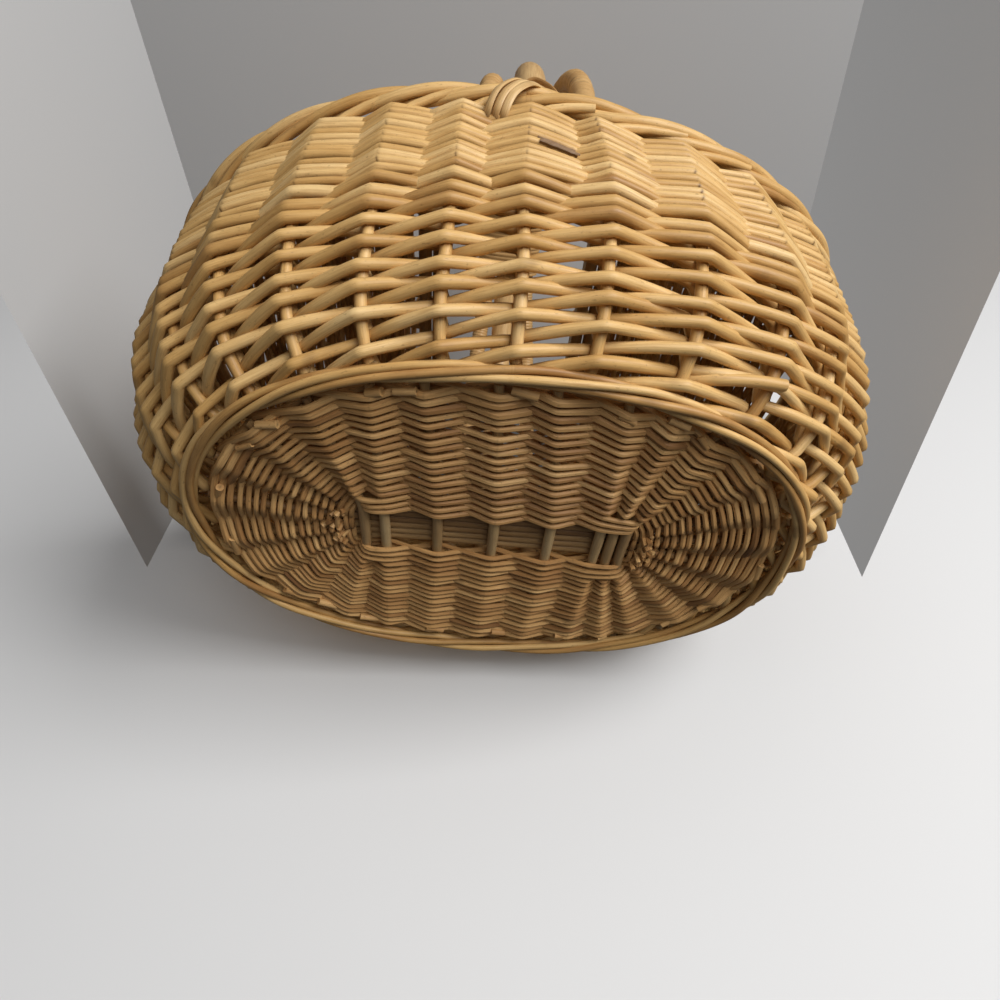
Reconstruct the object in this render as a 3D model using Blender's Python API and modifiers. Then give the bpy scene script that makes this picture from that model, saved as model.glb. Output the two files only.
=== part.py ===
"""Wicker picnic basket: an oval willow basket with a fixed bow handle across its short axis
and two half-oval lids, each hinged on a bar beside the handle.

Metres, +Z up, X along the basket. The origin is on the floor under the basket's centre.
The weave of the base, the wall and the lids is one closed solid each, at its outer shape.
"""

import bpy
import bmesh
from math import acos, atan, ceil, cos, pi, radians, sin
from mathutils import Matrix, Vector

# Clearance that touching pieces keep
GAP = 0.0003
# How far a cutter runs past the face that it cuts
OVERRUN = 0.002

# Every outline of the basket is one family of ovals, squarer than an ellipse by this power
OVAL_POWER = 2.2
STAKES = 30
STATIONS_PER_STAKE = 2

# Foot border: three thin strands twisted into a ring, worn flat underneath
FOOT_HALF_LENGTH = 0.1635
FOOT_HALF_WIDTH = 0.1240
FOOT_RADIUS = 0.0050
FOOT_GROOVE_DEPTH = 0.0014
FOOT_CENTRE_HEIGHT = 0.0034
FOOT_STRANDS = 3
FOOT_SECTION_POINTS = 9
FOOT_STATIONS_PER_STAKE = 3

# Wall: the stakes flare out from the foot and come in a little to the rim
WALL_FOOT_INSET = 0.0030
WALL_FOOT_HALF_LENGTH = FOOT_HALF_LENGTH - WALL_FOOT_INSET
WALL_FOOT_HALF_WIDTH = FOOT_HALF_WIDTH - WALL_FOOT_INSET
WALL_LENGTH_FLARE = 0.0455
WALL_WIDTH_FLARE = 0.0465
WALL_HEIGHT = 0.1393
WALL_RIDGE = 0.0080
WALL_VALLEY = 0.0045
WALL_INSIDE = 0.0080
WALL_ROWS = 18
WALL_ROW_DEPTH = 0.0024
WALL_ROW_RISE = 0.0009
STAKE_RADIUS = 0.00275
# Height shares of the wall, each with its share of the flare
WALL_PROFILE_SHARES = (
    (0.0, 0.0),
    (0.06, 0.33),
    (0.13, 0.54),
    (0.225, 0.72),
    (0.34, 0.87),
    (0.476, 0.96),
    (0.64, 1.0),
    (0.83, 0.985),
    (1.0, 0.965),
)

# Rim border: three rods rolled round each other, standing off above and outside the weave
RIM_ROD_RADIUS = 0.0022
RIM_RODS = 3
RIM_TWIST_RADIUS = 0.0029
RIM_STAND_OFF = 0.0046
RIM_CENTRE_LIFT = 0.0125

# Base: a dished oval of close weave round a window where the sticks cross
BASE_THICKNESS = 0.0090
BASE_DOME = 0.0020
BASE_LIFT = 0.0050
BASE_WINDOW_HALF_LENGTH = 0.078
BASE_WINDOW_HALF_WIDTH = 0.0172
BASE_WINDOW_POWER = 7.0
BASE_RING_SHARES = (0.0, 0.34, 0.68, 1.0)
CORE_RODS = 6
CORE_ROD_RADIUS = 0.0024
CORE_ROD_PITCH = 0.0052
CORE_ROD_LIFT = 0.0026
CROSS_STICK_RADIUS = 0.00315
# Each short stick's group along the window, as a share of its half length, and the stick's
# place in the group in stick radii: two close together, three single ones and three close
CROSS_STICK_SHARES = (
    (-0.846, -1.75),
    (-0.846, 1.75),
    (-0.404, 0.0),
    (-0.006, 0.0),
    (0.391, 0.0),
    (0.838, -2.35),
    (0.838, -0.05),
    (0.838, 2.15),
)
STICK_BITE = 0.012

# Handle: a smooth bow between two bows covered in skein, drawn together at the grip
CENTRE_BOW_RADIUS = 0.0092
SIDE_BOW_RADIUS = 0.00675
LEFT_BOW_OFFSET = 0.0235
RIGHT_BOW_OFFSET = 0.0295
SIDE_BOW_SPLAY = 0.0075
BOW_HEIGHT = 0.195
BOW_POWER = 2.4
BOW_GATHER_POWER = 3
# How far the outer side of a bow's foot stands in from the line of stakes
BOW_INSET = 0.0015
LEFT_BOW_INSET = 0.0100
BOW_FOOT_DEPTH = 0.062
BOW_FOOT_LEAN = 0.001
BOW_ARCH_POINTS = 28
SOCKET_SIDES = 12
GRIP_HALF_LENGTH = 0.056
GRIP_WALL = 0.0026
GRIP_POINTS = 9
GRIP_SECTION_POINTS = 18
GRIP_POWER = 3.0

# Lashings: willow skein wound over the rim and round the foot of the smooth bow
LASHING_RADIUS = 0.0016
LASHING_TURNS = 3
LASHING_PITCH = 0.0038
LASHING_RISE = 0.0120
LASHING_POWER = 3.0
LASHING_POINTS = 24
TIE_TURNS = 1
NOTCH_HALF_WIDTH = 0.0060

# Hinge bars, lids and the loops that hang a lid on its bar
HINGE_BAR_RADIUS = 0.0042
HINGE_BAR_OFFSET = 0.0445
HINGE_BAR_SEAT = 0.0010
LID_ROD_RADIUS = 0.0040
LID_SEAT = 0.0065
LID_ARC_POINTS = 40
SPINE_GAP = 0.0005
SPINE_OVERHANG = 0.0030
LOOP_SKEIN = 0.0016
LOOP_PLAY = 0.0004
LOOP_HALF_WIDTH = 0.0040
LOOP_PLACES = (-0.112, -0.040, 0.040, 0.112)
LOOP_ARC_POINTS = 9
PANEL_THICKNESS = 0.0066
PANEL_CROWN = 0.0030
PANEL_FAN_POINTS = 26
PANEL_RING_SHARES = (0.36, 0.70, 1.0)

# Colours, roughness
WILLOW = (0.56, 0.37, 0.16)
BASE_WILLOW = (0.36, 0.22, 0.09)
PEELED_STICK = (0.47, 0.30, 0.13)
BOW_WOOD = (0.50, 0.33, 0.15)
SKEIN = (0.45, 0.29, 0.12)

UP = Vector((0, 0, 1))
X_AXIS = Vector((1, 0, 0))

# Heights that follow from the sizes above
FOOT_TOP = FOOT_CENTRE_HEIGHT + FOOT_RADIUS
WALL_BOTTOM = FOOT_TOP + GAP
WALL_TOP = WALL_BOTTOM + WALL_HEIGHT
RIM_HEIGHT = WALL_TOP + RIM_CENTRE_LIFT
SEAT_HEIGHT = WALL_TOP + GAP


def clear_scene():
    for leftover in list(bpy.data.objects):
        bpy.data.objects.remove(leftover, do_unlink=True)


def make_collection(name):
    collection = bpy.data.collections.new(name)
    bpy.context.scene.collection.children.link(collection)
    return collection


def make_material(name, colour, roughness):
    material = bpy.data.materials.new(name)
    material.use_nodes = True
    shader = material.node_tree.nodes["Principled BSDF"]
    shader.inputs["Base Color"].default_value = (*colour, 1)
    shader.inputs["Roughness"].default_value = roughness
    shader.inputs["Metallic"].default_value = 0
    return material


def signed_power(value, power):
    return abs(value) ** power if value >= 0 else -abs(value) ** power


def oval_point(angle, half_length, half_width, power=OVAL_POWER):
    """Point of an oval in the plane z = 0."""
    share = 2 / power
    x = half_length * signed_power(cos(angle), share)
    y = half_width * signed_power(sin(angle), share)
    return Vector((x, y, 0))


def oval_outward(angle):
    """Level direction square to the wall, out of the basket."""
    half_length = WALL_FOOT_HALF_LENGTH + WALL_LENGTH_FLARE
    half_width = WALL_FOOT_HALF_WIDTH + WALL_WIDTH_FLARE
    point = oval_point(angle, half_length, half_width)
    slope = OVAL_POWER - 1
    along_x = signed_power(point.x / half_length, slope) / half_length
    along_y = signed_power(point.y / half_width, slope) / half_width
    return Vector((along_x, along_y, 0)).normalized()


def even_angles(count):
    """Angles of count stations that lie evenly round the wall at its widest.

    The first station is the middle of the -Y side, where the photographed stake stands."""
    half_length = WALL_FOOT_HALF_LENGTH + WALL_LENGTH_FLARE
    half_width = WALL_FOOT_HALF_WIDTH + WALL_WIDTH_FLARE
    fine_steps = 48 * count
    start = -pi / 2
    angles = [start + 2 * pi * step / fine_steps for step in range(fine_steps + 1)]
    points = [oval_point(angle, half_length, half_width) for angle in angles]
    travelled = [0]
    for first, second in zip(points, points[1:]):
        travelled.append(travelled[-1] + (second - first).length)
    stations = []
    step = 0
    for index in range(count):
        wanted = travelled[-1] * index / count
        while travelled[step + 1] < wanted:
            step += 1
        share = (wanted - travelled[step]) / (travelled[step + 1] - travelled[step])
        stations.append(angles[step] + share * (angles[step + 1] - angles[step]))
    return stations


def wall_flare(height):
    """Share of the flare at a height over the floor, straight between the wall's levels."""
    level = min(max((height - WALL_BOTTOM) / WALL_HEIGHT, 0), 1)
    for (low, low_flare), (high, high_flare) in zip(WALL_PROFILE_SHARES, WALL_PROFILE_SHARES[1:]):
        if level <= high:
            return low_flare + (high_flare - low_flare) * (level - low) / (high - low)
    return WALL_PROFILE_SHARES[-1][1]


def wall_half_sizes(height, outward=0):
    """Half length and half width of the line of stakes at a height, moved outward."""
    flare = wall_flare(height)
    half_length = WALL_FOOT_HALF_LENGTH + WALL_LENGTH_FLARE * flare + outward
    half_width = WALL_FOOT_HALF_WIDTH + WALL_WIDTH_FLARE * flare + outward
    return half_length, half_width


def wall_ring(height, outward, angles, rise=0):
    """One loop round the wall, outward of the stakes by outward(index), that climbs at each stake."""
    ring = []
    for index, angle in enumerate(angles):
        level = height + (-rise if index % STATIONS_PER_STAKE else rise)
        half_length, half_width = wall_half_sizes(level)
        point = oval_point(angle, half_length, half_width) + oval_outward(angle) * outward(index)
        ring.append(point + UP * level)
    return ring


def oval_half_width_at(x, half_length, half_width):
    """Half width of an oval at a distance x from its middle."""
    return half_width * (1 - abs(x / half_length) ** OVAL_POWER) ** (1 / OVAL_POWER)


def add_object(name, data, collection, material=None):
    obj = bpy.data.objects.new(name, data)
    collection.objects.link(obj)
    if material is not None:
        data.materials.append(material)
    return obj


def smooth_faces(mesh, sharp_degrees=40):
    mesh.shade_smooth()
    mesh.set_sharp_from_angle(angle=radians(sharp_degrees))


def loft_loops(name, loops, collection, material):
    """Closed skin through closed loops of equal count, the last joined back to the first."""
    work = bmesh.new()
    rows = [[work.verts.new(point) for point in loop] for loop in loops]
    for row, next_row in zip(rows, rows[1:] + rows[:1]):
        for index in range(len(row)):
            after = (index + 1) % len(row)
            work.faces.new((row[index], row[after], next_row[after], next_row[index]))
    bmesh.ops.recalc_face_normals(work, faces=work.faces)
    mesh = bpy.data.meshes.new(name)
    work.to_mesh(mesh)
    work.free()
    smooth_faces(mesh)
    return add_object(name, mesh, collection, material)


def rod_data(name, points, radius, cyclic=False, resolution=2):
    curve = bpy.data.curves.new(name, "CURVE")
    curve.dimensions = "3D"
    curve.bevel_depth = radius
    curve.bevel_resolution = resolution
    curve.use_fill_caps = not cyclic
    spline = curve.splines.new("POLY")
    spline.points.add(len(points) - 1)
    for point, place in zip(spline.points, points):
        point.co = (*place, 1)
    spline.use_cyclic_u = cyclic
    spline.use_smooth = True
    return curve


def add_rod(name, points, radius, collection, material, cyclic=False, resolution=2):
    curve = rod_data(name, points, radius, cyclic, resolution)
    return add_object(name, curve, collection, material)


def add_box(name, low, high, collection):
    """Box cutter between two corners."""
    work = bmesh.new()
    bmesh.ops.create_cube(work, size=1)
    low, high = Vector(low), Vector(high)
    place = Matrix.Translation((low + high) / 2) @ Matrix.Diagonal((*(high - low), 1))
    bmesh.ops.transform(work, matrix=place, verts=work.verts)
    mesh = bpy.data.meshes.new(name)
    work.to_mesh(mesh)
    work.free()
    return add_cutter(name, mesh, collection)


def add_cutter(name, mesh, collection):
    cutter = add_object(name, mesh, collection)
    cutter.hide_render = True
    cutter.display_type = "WIRE"
    return cutter


def add_cylinders(name, ends, radius, collection, segments=8):
    """Mesh of separate cylinders, each between a pair of points."""
    work = bmesh.new()
    for start, end in ends:
        axis = end - start
        lean = UP.rotation_difference(axis).to_matrix().to_4x4()
        # A flat faces each way, because an edge there would lie on the middle edge of the wall
        place = Matrix.Translation((start + end) / 2) @ lean @ Matrix.Rotation(pi / segments, 4, "Z")
        bmesh.ops.create_cone(
            work, cap_ends=True, segments=segments, radius1=radius, radius2=radius,
            depth=axis.length, matrix=place,
        )
    mesh = bpy.data.meshes.new(name)
    work.to_mesh(mesh)
    work.free()
    return add_cutter(name, mesh, collection)


def combine(target, tool, operation):
    modifier = target.modifiers.new(tool.name, "BOOLEAN")
    modifier.operation = operation
    modifier.solver = "EXACT"
    modifier.object = tool


def half_turn(point):
    """The same place on the other side, after half a turn about the basket's upright axis."""
    return Vector((-point.x, -point.y, point.z))


def make_foot_border(parts, material):
    """Rope-like ring that the basket stands on, clipped flat at the floor."""
    count = STAKES * FOOT_STATIONS_PER_STAKE
    loops = []
    for index, angle in enumerate(even_angles(count)):
        centre = oval_point(angle, FOOT_HALF_LENGTH, FOOT_HALF_WIDTH) + UP * FOOT_CENTRE_HEIGHT
        outward = oval_outward(angle)
        twist = 2 * pi * index / (FOOT_STRANDS * FOOT_STATIONS_PER_STAKE)
        loop = []
        for side in range(FOOT_SECTION_POINTS):
            turn = 2 * pi * side / FOOT_SECTION_POINTS
            lobe = (1 - cos(FOOT_STRANDS * (turn - twist))) / 2
            reach = FOOT_RADIUS - FOOT_GROOVE_DEPTH * lobe
            point = centre + (outward * cos(turn) + UP * sin(turn)) * reach
            point.z = max(point.z, 0)
            loop.append(point)
        loops.append(loop)
    return loft_loops("foot_border", loops, parts, material)


def base_height(x, y):
    """Height of the middle of the base weave, which domes up into the basket."""
    edge = BASE_LIFT + BASE_THICKNESS / 2
    half_length, half_width = WALL_FOOT_HALF_LENGTH, WALL_FOOT_HALF_WIDTH
    share = (x / half_length) ** 2 + (y / half_width) ** 2
    return edge + BASE_DOME * max(1 - share, 0)


def base_loop(share, side, angles):
    """Loop of the base weave from its window, share 0, to its edge, share 1.

    side is 1 on the upper face and -1 on the lower one."""
    edge_height = BASE_LIFT + BASE_THICKNESS * (1 + side) / 2
    edge_length, edge_width = wall_half_sizes(WALL_BOTTOM, -WALL_INSIDE - GAP)
    loop = []
    for angle in angles:
        inner = oval_point(
            angle, BASE_WINDOW_HALF_LENGTH, BASE_WINDOW_HALF_WIDTH, BASE_WINDOW_POWER
        )
        outer = oval_point(angle, edge_length, edge_width)
        point = inner.lerp(outer, share)
        face_height = base_height(point.x, point.y) + side * BASE_THICKNESS / 2
        loop.append(point + UP * (edge_height if share == 1 else face_height))
    return loop


def make_base(parts, cutters, weave, stick):
    """Woven oval with its crossing sticks, whose ends lie in grooves of the weave."""
    angles = even_angles(STAKES * STATIONS_PER_STAKE)
    lower = [base_loop(share, -1, angles) for share in BASE_RING_SHARES]
    upper = [base_loop(share, 1, angles) for share in reversed(BASE_RING_SHARES)]
    weave_object = loft_loops("base_weave", lower + upper, parts, weave)

    core_height = base_height(0, 0) + CORE_ROD_LIFT
    core_half_length = BASE_WINDOW_HALF_LENGTH + STICK_BITE
    core_half_band = CORE_ROD_PITCH * (CORE_RODS - 1) / 2 + CORE_ROD_RADIUS + GAP
    for index in range(CORE_RODS):
        y = CORE_ROD_PITCH * (index - (CORE_RODS - 1) / 2)
        ends = (Vector((-core_half_length, y, core_height)), Vector((core_half_length, y, core_height)))
        add_rod(f"core_rod_{index + 1}", ends, CORE_ROD_RADIUS, parts, stick)
    slot_reach = core_half_length + GAP
    slot_low = (-slot_reach, -core_half_band, core_height - CORE_ROD_RADIUS - GAP)
    slot_high = (slot_reach, core_half_band, core_height + BASE_THICKNESS)
    combine(weave_object, add_box("core_slot", slot_low, slot_high, cutters), "DIFFERENCE")

    cross_height = core_height - CORE_ROD_RADIUS - GAP - CROSS_STICK_RADIUS
    cross_half_length = BASE_WINDOW_HALF_WIDTH + STICK_BITE
    for index, x in enumerate(cross_stick_places()):
        ends = (Vector((x, -cross_half_length, cross_height)), Vector((x, cross_half_length, cross_height)))
        add_rod(f"cross_stick_{index + 1}", ends, CROSS_STICK_RADIUS, parts, stick)
    groove_reach = cross_half_length + GAP
    groove_half = CROSS_STICK_RADIUS + GAP
    # The sticks of a pair lie so close that one groove takes both
    for index, group in enumerate(stick_groups()):
        groove_low = (group[0] - groove_half, -groove_reach, cross_height - BASE_THICKNESS)
        groove_high = (group[-1] + groove_half, groove_reach, cross_height + groove_half)
        groove = add_box(f"cross_groove_{index + 1}", groove_low, groove_high, cutters)
        combine(weave_object, groove, "DIFFERENCE")
    return weave_object


def cross_stick_places():
    """Distances of the short sticks along the basket."""
    return [
        BASE_WINDOW_HALF_LENGTH * group + CROSS_STICK_RADIUS * place
        for group, place in CROSS_STICK_SHARES
    ]


def stick_groups():
    """The short sticks' places, those closer than two thicknesses taken together."""
    places = cross_stick_places()
    groups = [places[:1]]
    for place in places[1:]:
        if place - groups[-1][-1] < 4 * CROSS_STICK_RADIUS:
            groups[-1].append(place)
        else:
            groups.append([place])
    return groups


def make_wall(parts, cutters, material):
    """Woven wall, ridged at every stake and in rows, with the stakes' ends leaning out under the rim."""
    angles = even_angles(STAKES * STATIONS_PER_STAKE)

    def row_middle(index):
        return WALL_VALLEY if index % STATIONS_PER_STAKE else WALL_RIDGE

    def row_edge(index):
        return row_middle(index) - WALL_ROW_DEPTH

    def inside(index):
        return -WALL_INSIDE

    loops = []
    for step in range(2 * WALL_ROWS + 1):
        height = WALL_BOTTOM + WALL_HEIGHT * step / (2 * WALL_ROWS)
        # The wall's top and bottom edges are level
        rise = WALL_ROW_RISE if 0 < step < 2 * WALL_ROWS else 0
        loops.append(wall_ring(height, row_middle if step % 2 else row_edge, angles, rise))
    levels = [WALL_BOTTOM + WALL_HEIGHT * level for level, flare in WALL_PROFILE_SHARES]
    loops += [wall_ring(height, inside, angles) for height in reversed(levels)]
    wall = loft_loops("wall_weave", loops, parts, material)

    half_length, half_width = wall_half_sizes(WALL_TOP)
    ends = []
    for angle in angles[::STATIONS_PER_STAKE]:
        edge = oval_point(angle, half_length, half_width)
        foot = edge + oval_outward(angle) * STAKE_RADIUS + UP * (WALL_TOP - 2 * STAKE_RADIUS)
        rod_middle = edge + oval_outward(angle) * RIM_STAND_OFF + UP * (RIM_HEIGHT - RIM_TWIST_RADIUS)
        # Each stake points at the rod that passes low over it, and ends square just short of it
        lean = (rod_middle - foot).normalized()
        ends.append((foot, rod_middle - lean * (RIM_ROD_RADIUS + GAP)))
    combine(wall, add_cylinders("stake_ends", ends, STAKE_RADIUS, cutters), "UNION")

    for name, (radius, x, inset) in bow_places().items():
        end, top = bow_foot(radius, x, inset)
        along = (top - end).normalized()
        # The flats of the cutter, not its edges, keep the clearance
        socket_radius = (radius + GAP) / cos(pi / SOCKET_SIDES)
        for side in (-1, 1):
            ends = [Vector((p.x, -side * p.y, p.z)) for p in (end - along * GAP, top + along * 2 * radius)]
            socket_name = f"{name}_{'front' if side < 0 else 'back'}_socket"
            socket = add_cylinders(socket_name, [ends], socket_radius, cutters, SOCKET_SIDES)
            combine(wall, socket, "DIFFERENCE")

    notch_depth = lashing_reach_below() + GAP
    edge_out = half_width + WALL_RIDGE + OVERRUN
    edge_in = half_width - WALL_INSIDE - OVERRUN
    for side in (-1, 1):
        for hand in (-1, 1):
            x = hand * lashing_pass_offset()
            y_low, y_high = sorted((side * edge_in, side * edge_out))
            low = (x - NOTCH_HALF_WIDTH, y_low, WALL_TOP - notch_depth)
            high = (x + NOTCH_HALF_WIDTH, y_high, WALL_TOP + OVERRUN)
            end = "front" if side < 0 else "back"
            name = f"{end}_notch_{'left' if hand < 0 else 'right'}"
            combine(wall, add_box(name, low, high, cutters), "DIFFERENCE")
    return wall


def make_rim(parts, material):
    """Three rods rolled into a border. One of them passes low over every stake."""
    count = STAKES * STATIONS_PER_STAKE
    turns = STAKES / RIM_RODS
    half_length, half_width = wall_half_sizes(WALL_TOP)
    for rod in range(RIM_RODS):
        points = []
        for index, angle in enumerate(even_angles(count)):
            centre = oval_point(angle, half_length, half_width)
            outward = oval_outward(angle)
            phase = 2 * pi * (turns * index / count + rod / RIM_RODS)
            offset = outward * (RIM_STAND_OFF + RIM_TWIST_RADIUS * sin(phase))
            lift = RIM_HEIGHT - RIM_TWIST_RADIUS * cos(phase)
            points.append(centre + offset + UP * lift)
        add_rod(f"rim_rod_{rod + 1}", points, RIM_ROD_RADIUS, parts, material, True, 1)


def bow_places():
    """Radius, distance along the basket and inset of each bow where it enters the weave."""
    return {
        "centre_bow": (CENTRE_BOW_RADIUS, 0, BOW_INSET),
        "left_bow": (SIDE_BOW_RADIUS, -LEFT_BOW_OFFSET, LEFT_BOW_INSET),
        "right_bow": (SIDE_BOW_RADIUS, RIGHT_BOW_OFFSET, BOW_INSET),
    }


def bow_half_span(radius, x, inset):
    """Distance of a bow's foot from the middle of the basket, where it enters the weave."""
    half_length, half_width = wall_half_sizes(WALL_TOP)
    return oval_half_width_at(x, half_length, half_width) - inset - radius


def bow_hand(x):
    """Side of the middle plane that a bow stands on: -1, 0 or 1."""
    return (x > 0) - (x < 0)


def bow_foot(radius, x, inset):
    """Both ends of a bow's straight foot on the front side, the one in the weave first."""
    top = Vector((x, -bow_half_span(radius, x, inset), WALL_TOP))
    end = top + Vector((SIDE_BOW_SPLAY * bow_hand(x), -BOW_FOOT_LEAN, -BOW_FOOT_DEPTH))
    return end, top


def bow_path(radius, x, inset):
    """Points of a bow from its front foot to its back one, drawn in to the grip."""
    end, top = bow_foot(radius, x, inset)
    half_span = bow_half_span(radius, x, inset)
    grip_x = bow_hand(x) * side_bow_top_offset()
    gathered = sin(acos((GRIP_HALF_LENGTH / half_span) ** (BOW_POWER / 2)))
    arch = []
    for index in range(BOW_ARCH_POINTS + 1):
        angle = pi * index / BOW_ARCH_POINTS
        height = BOW_HEIGHT * signed_power(sin(angle), 2 / BOW_POWER)
        y = -half_span * signed_power(cos(angle), 2 / BOW_POWER)
        drawn_in = min(sin(angle) / gathered, 1) ** BOW_GATHER_POWER
        arch.append(Vector((x + (grip_x - x) * drawn_in, y, WALL_TOP + height)))
    return [end] + arch + [Vector((end.x, -end.y, end.z))]


def side_bow_top_offset():
    return CENTRE_BOW_RADIUS + GAP + SIDE_BOW_RADIUS


def make_handle(parts, bow_wood, skein):
    for name, place in bow_places().items():
        material = bow_wood if name == "centre_bow" else skein
        add_rod(name, bow_path(*place), place[0], parts, material)
    make_grip(parts, skein)


def arch_height(y):
    """Height of the smooth bow at a distance y from its middle."""
    share = abs(y) / bow_half_span(*bow_places()["centre_bow"])
    return WALL_TOP + BOW_HEIGHT * (1 - share ** BOW_POWER) ** (1 / BOW_POWER)


def make_grip(parts, skein):
    """Skein binding round all three bows at the top of the handle."""
    bore_half_length = side_bow_top_offset() + SIDE_BOW_RADIUS + 2 * GAP
    bore_half_height = CENTRE_BOW_RADIUS + 2 * GAP
    sections = []
    for index in range(GRIP_POINTS):
        y = GRIP_HALF_LENGTH * (2 * index / (GRIP_POINTS - 1) - 1)
        height = arch_height(y)
        ahead = arch_height(y + OVERRUN)
        behind = arch_height(y - OVERRUN)
        along = Vector((0, 2 * OVERRUN, ahead - behind)).normalized()
        normal = X_AXIS.cross(along)
        sections.append((Vector((0, y, height)), normal))

    def section_loop(centre, normal, wall):
        loop = []
        for step in range(GRIP_SECTION_POINTS):
            angle = 2 * pi * step / GRIP_SECTION_POINTS
            across = (bore_half_length + wall) * signed_power(cos(angle), 2 / GRIP_POWER)
            up = (bore_half_height + wall) * signed_power(sin(angle), 2 / GRIP_POWER)
            loop.append(centre + X_AXIS * across + normal * up)
        return loop

    loops = [section_loop(centre, normal, GRIP_WALL) for centre, normal in sections]
    loops += [section_loop(centre, normal, 0) for centre, normal in reversed(sections)]
    loft_loops("grip_binding", loops, parts, skein)


def lashing_pass_offset():
    """Middle of the narrower space between the smooth bow and a side bow, for the skein."""
    return (CENTRE_BOW_RADIUS + min(LEFT_BOW_OFFSET, RIGHT_BOW_OFFSET) - SIDE_BOW_RADIUS) / 2


def lashing_reach_below():
    """How far the skein reaches below the top of the weave."""
    lowest = RIM_HEIGHT - LASHING_RISE - LASHING_PITCH * (LASHING_TURNS / 2 - 0.75) - LASHING_RADIUS
    return WALL_TOP - lowest


def lashing_path(turns, layer, hand):
    """Skein wound round the rim and the foot of the smooth bow, on the front side.

    Each turn passes over the rim on one side of the bow and under it on the other. layer
    counts the skeins that lie under it, and hand is 1 where it rises to the right."""
    half_width = wall_half_sizes(WALL_TOP)[1]
    rim_reach = half_width + RIM_STAND_OFF + RIM_TWIST_RADIUS + RIM_ROD_RADIUS
    bow_reach = bow_half_span(*bow_places()["centre_bow"]) - CENTRE_BOW_RADIUS
    play = LASHING_RADIUS + GAP + layer * (2 * LASHING_RADIUS + 2 * GAP)
    outer_y, inner_y = -(rim_reach + play), -(bow_reach - play)
    middle_y, half_depth = (outer_y + inner_y) / 2, (inner_y - outer_y) / 2
    half_pass = lashing_pass_offset()
    slope = atan(LASHING_RISE / half_pass)
    points = []
    for index in range(turns * LASHING_POINTS + 1):
        turn_share = index / LASHING_POINTS
        angle = pi / 2 - 2 * pi * turn_share
        across = signed_power(cos(angle), 2 / LASHING_POWER)
        inward = signed_power(sin(angle), 2 / LASHING_POWER)
        shift = LASHING_PITCH * (turn_share - turns / 2)
        x = half_pass * across - shift * sin(slope) * abs(inward)
        z = RIM_HEIGHT + LASHING_RISE * across + shift * (cos(slope) + (1 - cos(slope)) * abs(across))
        points.append(Vector((hand * x, middle_y + half_depth * inward, z)))
    return points


def least_own_gap(points, radius):
    """Least gap between a tube's turns, measured between points half a turn apart or more."""
    apart = LASHING_POINTS // 2
    least = min(
        (points[first] - points[second]).length
        for first in range(len(points))
        for second in range(first + apart, len(points))
    )
    return least - 2 * radius


def make_lashings(parts, skein):
    lashing = lashing_path(LASHING_TURNS, 1, 1)
    tie = lashing_path(TIE_TURNS, 0, -1)
    for name, points in (("lashing", lashing), ("tie", tie)):
        add_rod(f"front_{name}", points, LASHING_RADIUS, parts, skein, False, 1)
        behind = [half_turn(point) for point in points]
        add_rod(f"back_{name}", behind, LASHING_RADIUS, parts, skein, False, 1)
        print(f"{name}: least gap to itself {least_own_gap(points, LASHING_RADIUS):.5f} m")


def hinge_height():
    return SEAT_HEIGHT + HINGE_BAR_RADIUS


def spine_offset():
    return HINGE_BAR_OFFSET + HINGE_BAR_RADIUS + SPINE_GAP + LID_ROD_RADIUS


def lid_sizes(inset=0):
    half_length, half_width = wall_half_sizes(WALL_TOP, -LID_SEAT - inset)
    return half_length, half_width


def lid_outline_angle(x, half_length):
    """Angle at which the lid's oval passes the distance x, on its +Y half."""
    share = (x / half_length) ** (OVAL_POWER / 2)
    low, high = 0, pi / 2
    for halving in range(ceil(OVAL_POWER) * 16):
        middle = (low + high) / 2
        if cos(middle) > share:
            low = middle
        else:
            high = middle
    return (low + high) / 2


def make_hinge_bar(name, side, parts, material):
    half_width = wall_half_sizes(WALL_TOP, -HINGE_BAR_SEAT)[1]
    half_length = wall_half_sizes(WALL_TOP)[0]
    reach = oval_half_width_at(HINGE_BAR_OFFSET + HINGE_BAR_RADIUS, half_length, half_width)
    x = side * HINGE_BAR_OFFSET
    ends = (Vector((x, -reach, hinge_height())), Vector((x, reach, hinge_height())))
    add_rod(name, ends, HINGE_BAR_RADIUS, parts, material)


def hull_of_circles(near_radius, far_radius, distance):
    """Outline round two circles, the near one at the origin and the far one at distance."""
    lean = (near_radius - far_radius) / distance
    tilt = pi / 2 - atan(lean)
    outline = []
    for step in range(LOOP_ARC_POINTS):
        angle = tilt + (2 * pi - 2 * tilt) * step / (LOOP_ARC_POINTS - 1)
        outline.append((near_radius * cos(angle), near_radius * sin(angle)))
    for step in range(LOOP_ARC_POINTS):
        angle = -tilt + 2 * tilt * step / (LOOP_ARC_POINTS - 1)
        outline.append((distance + far_radius * cos(angle), far_radius * sin(angle)))
    return outline


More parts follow.
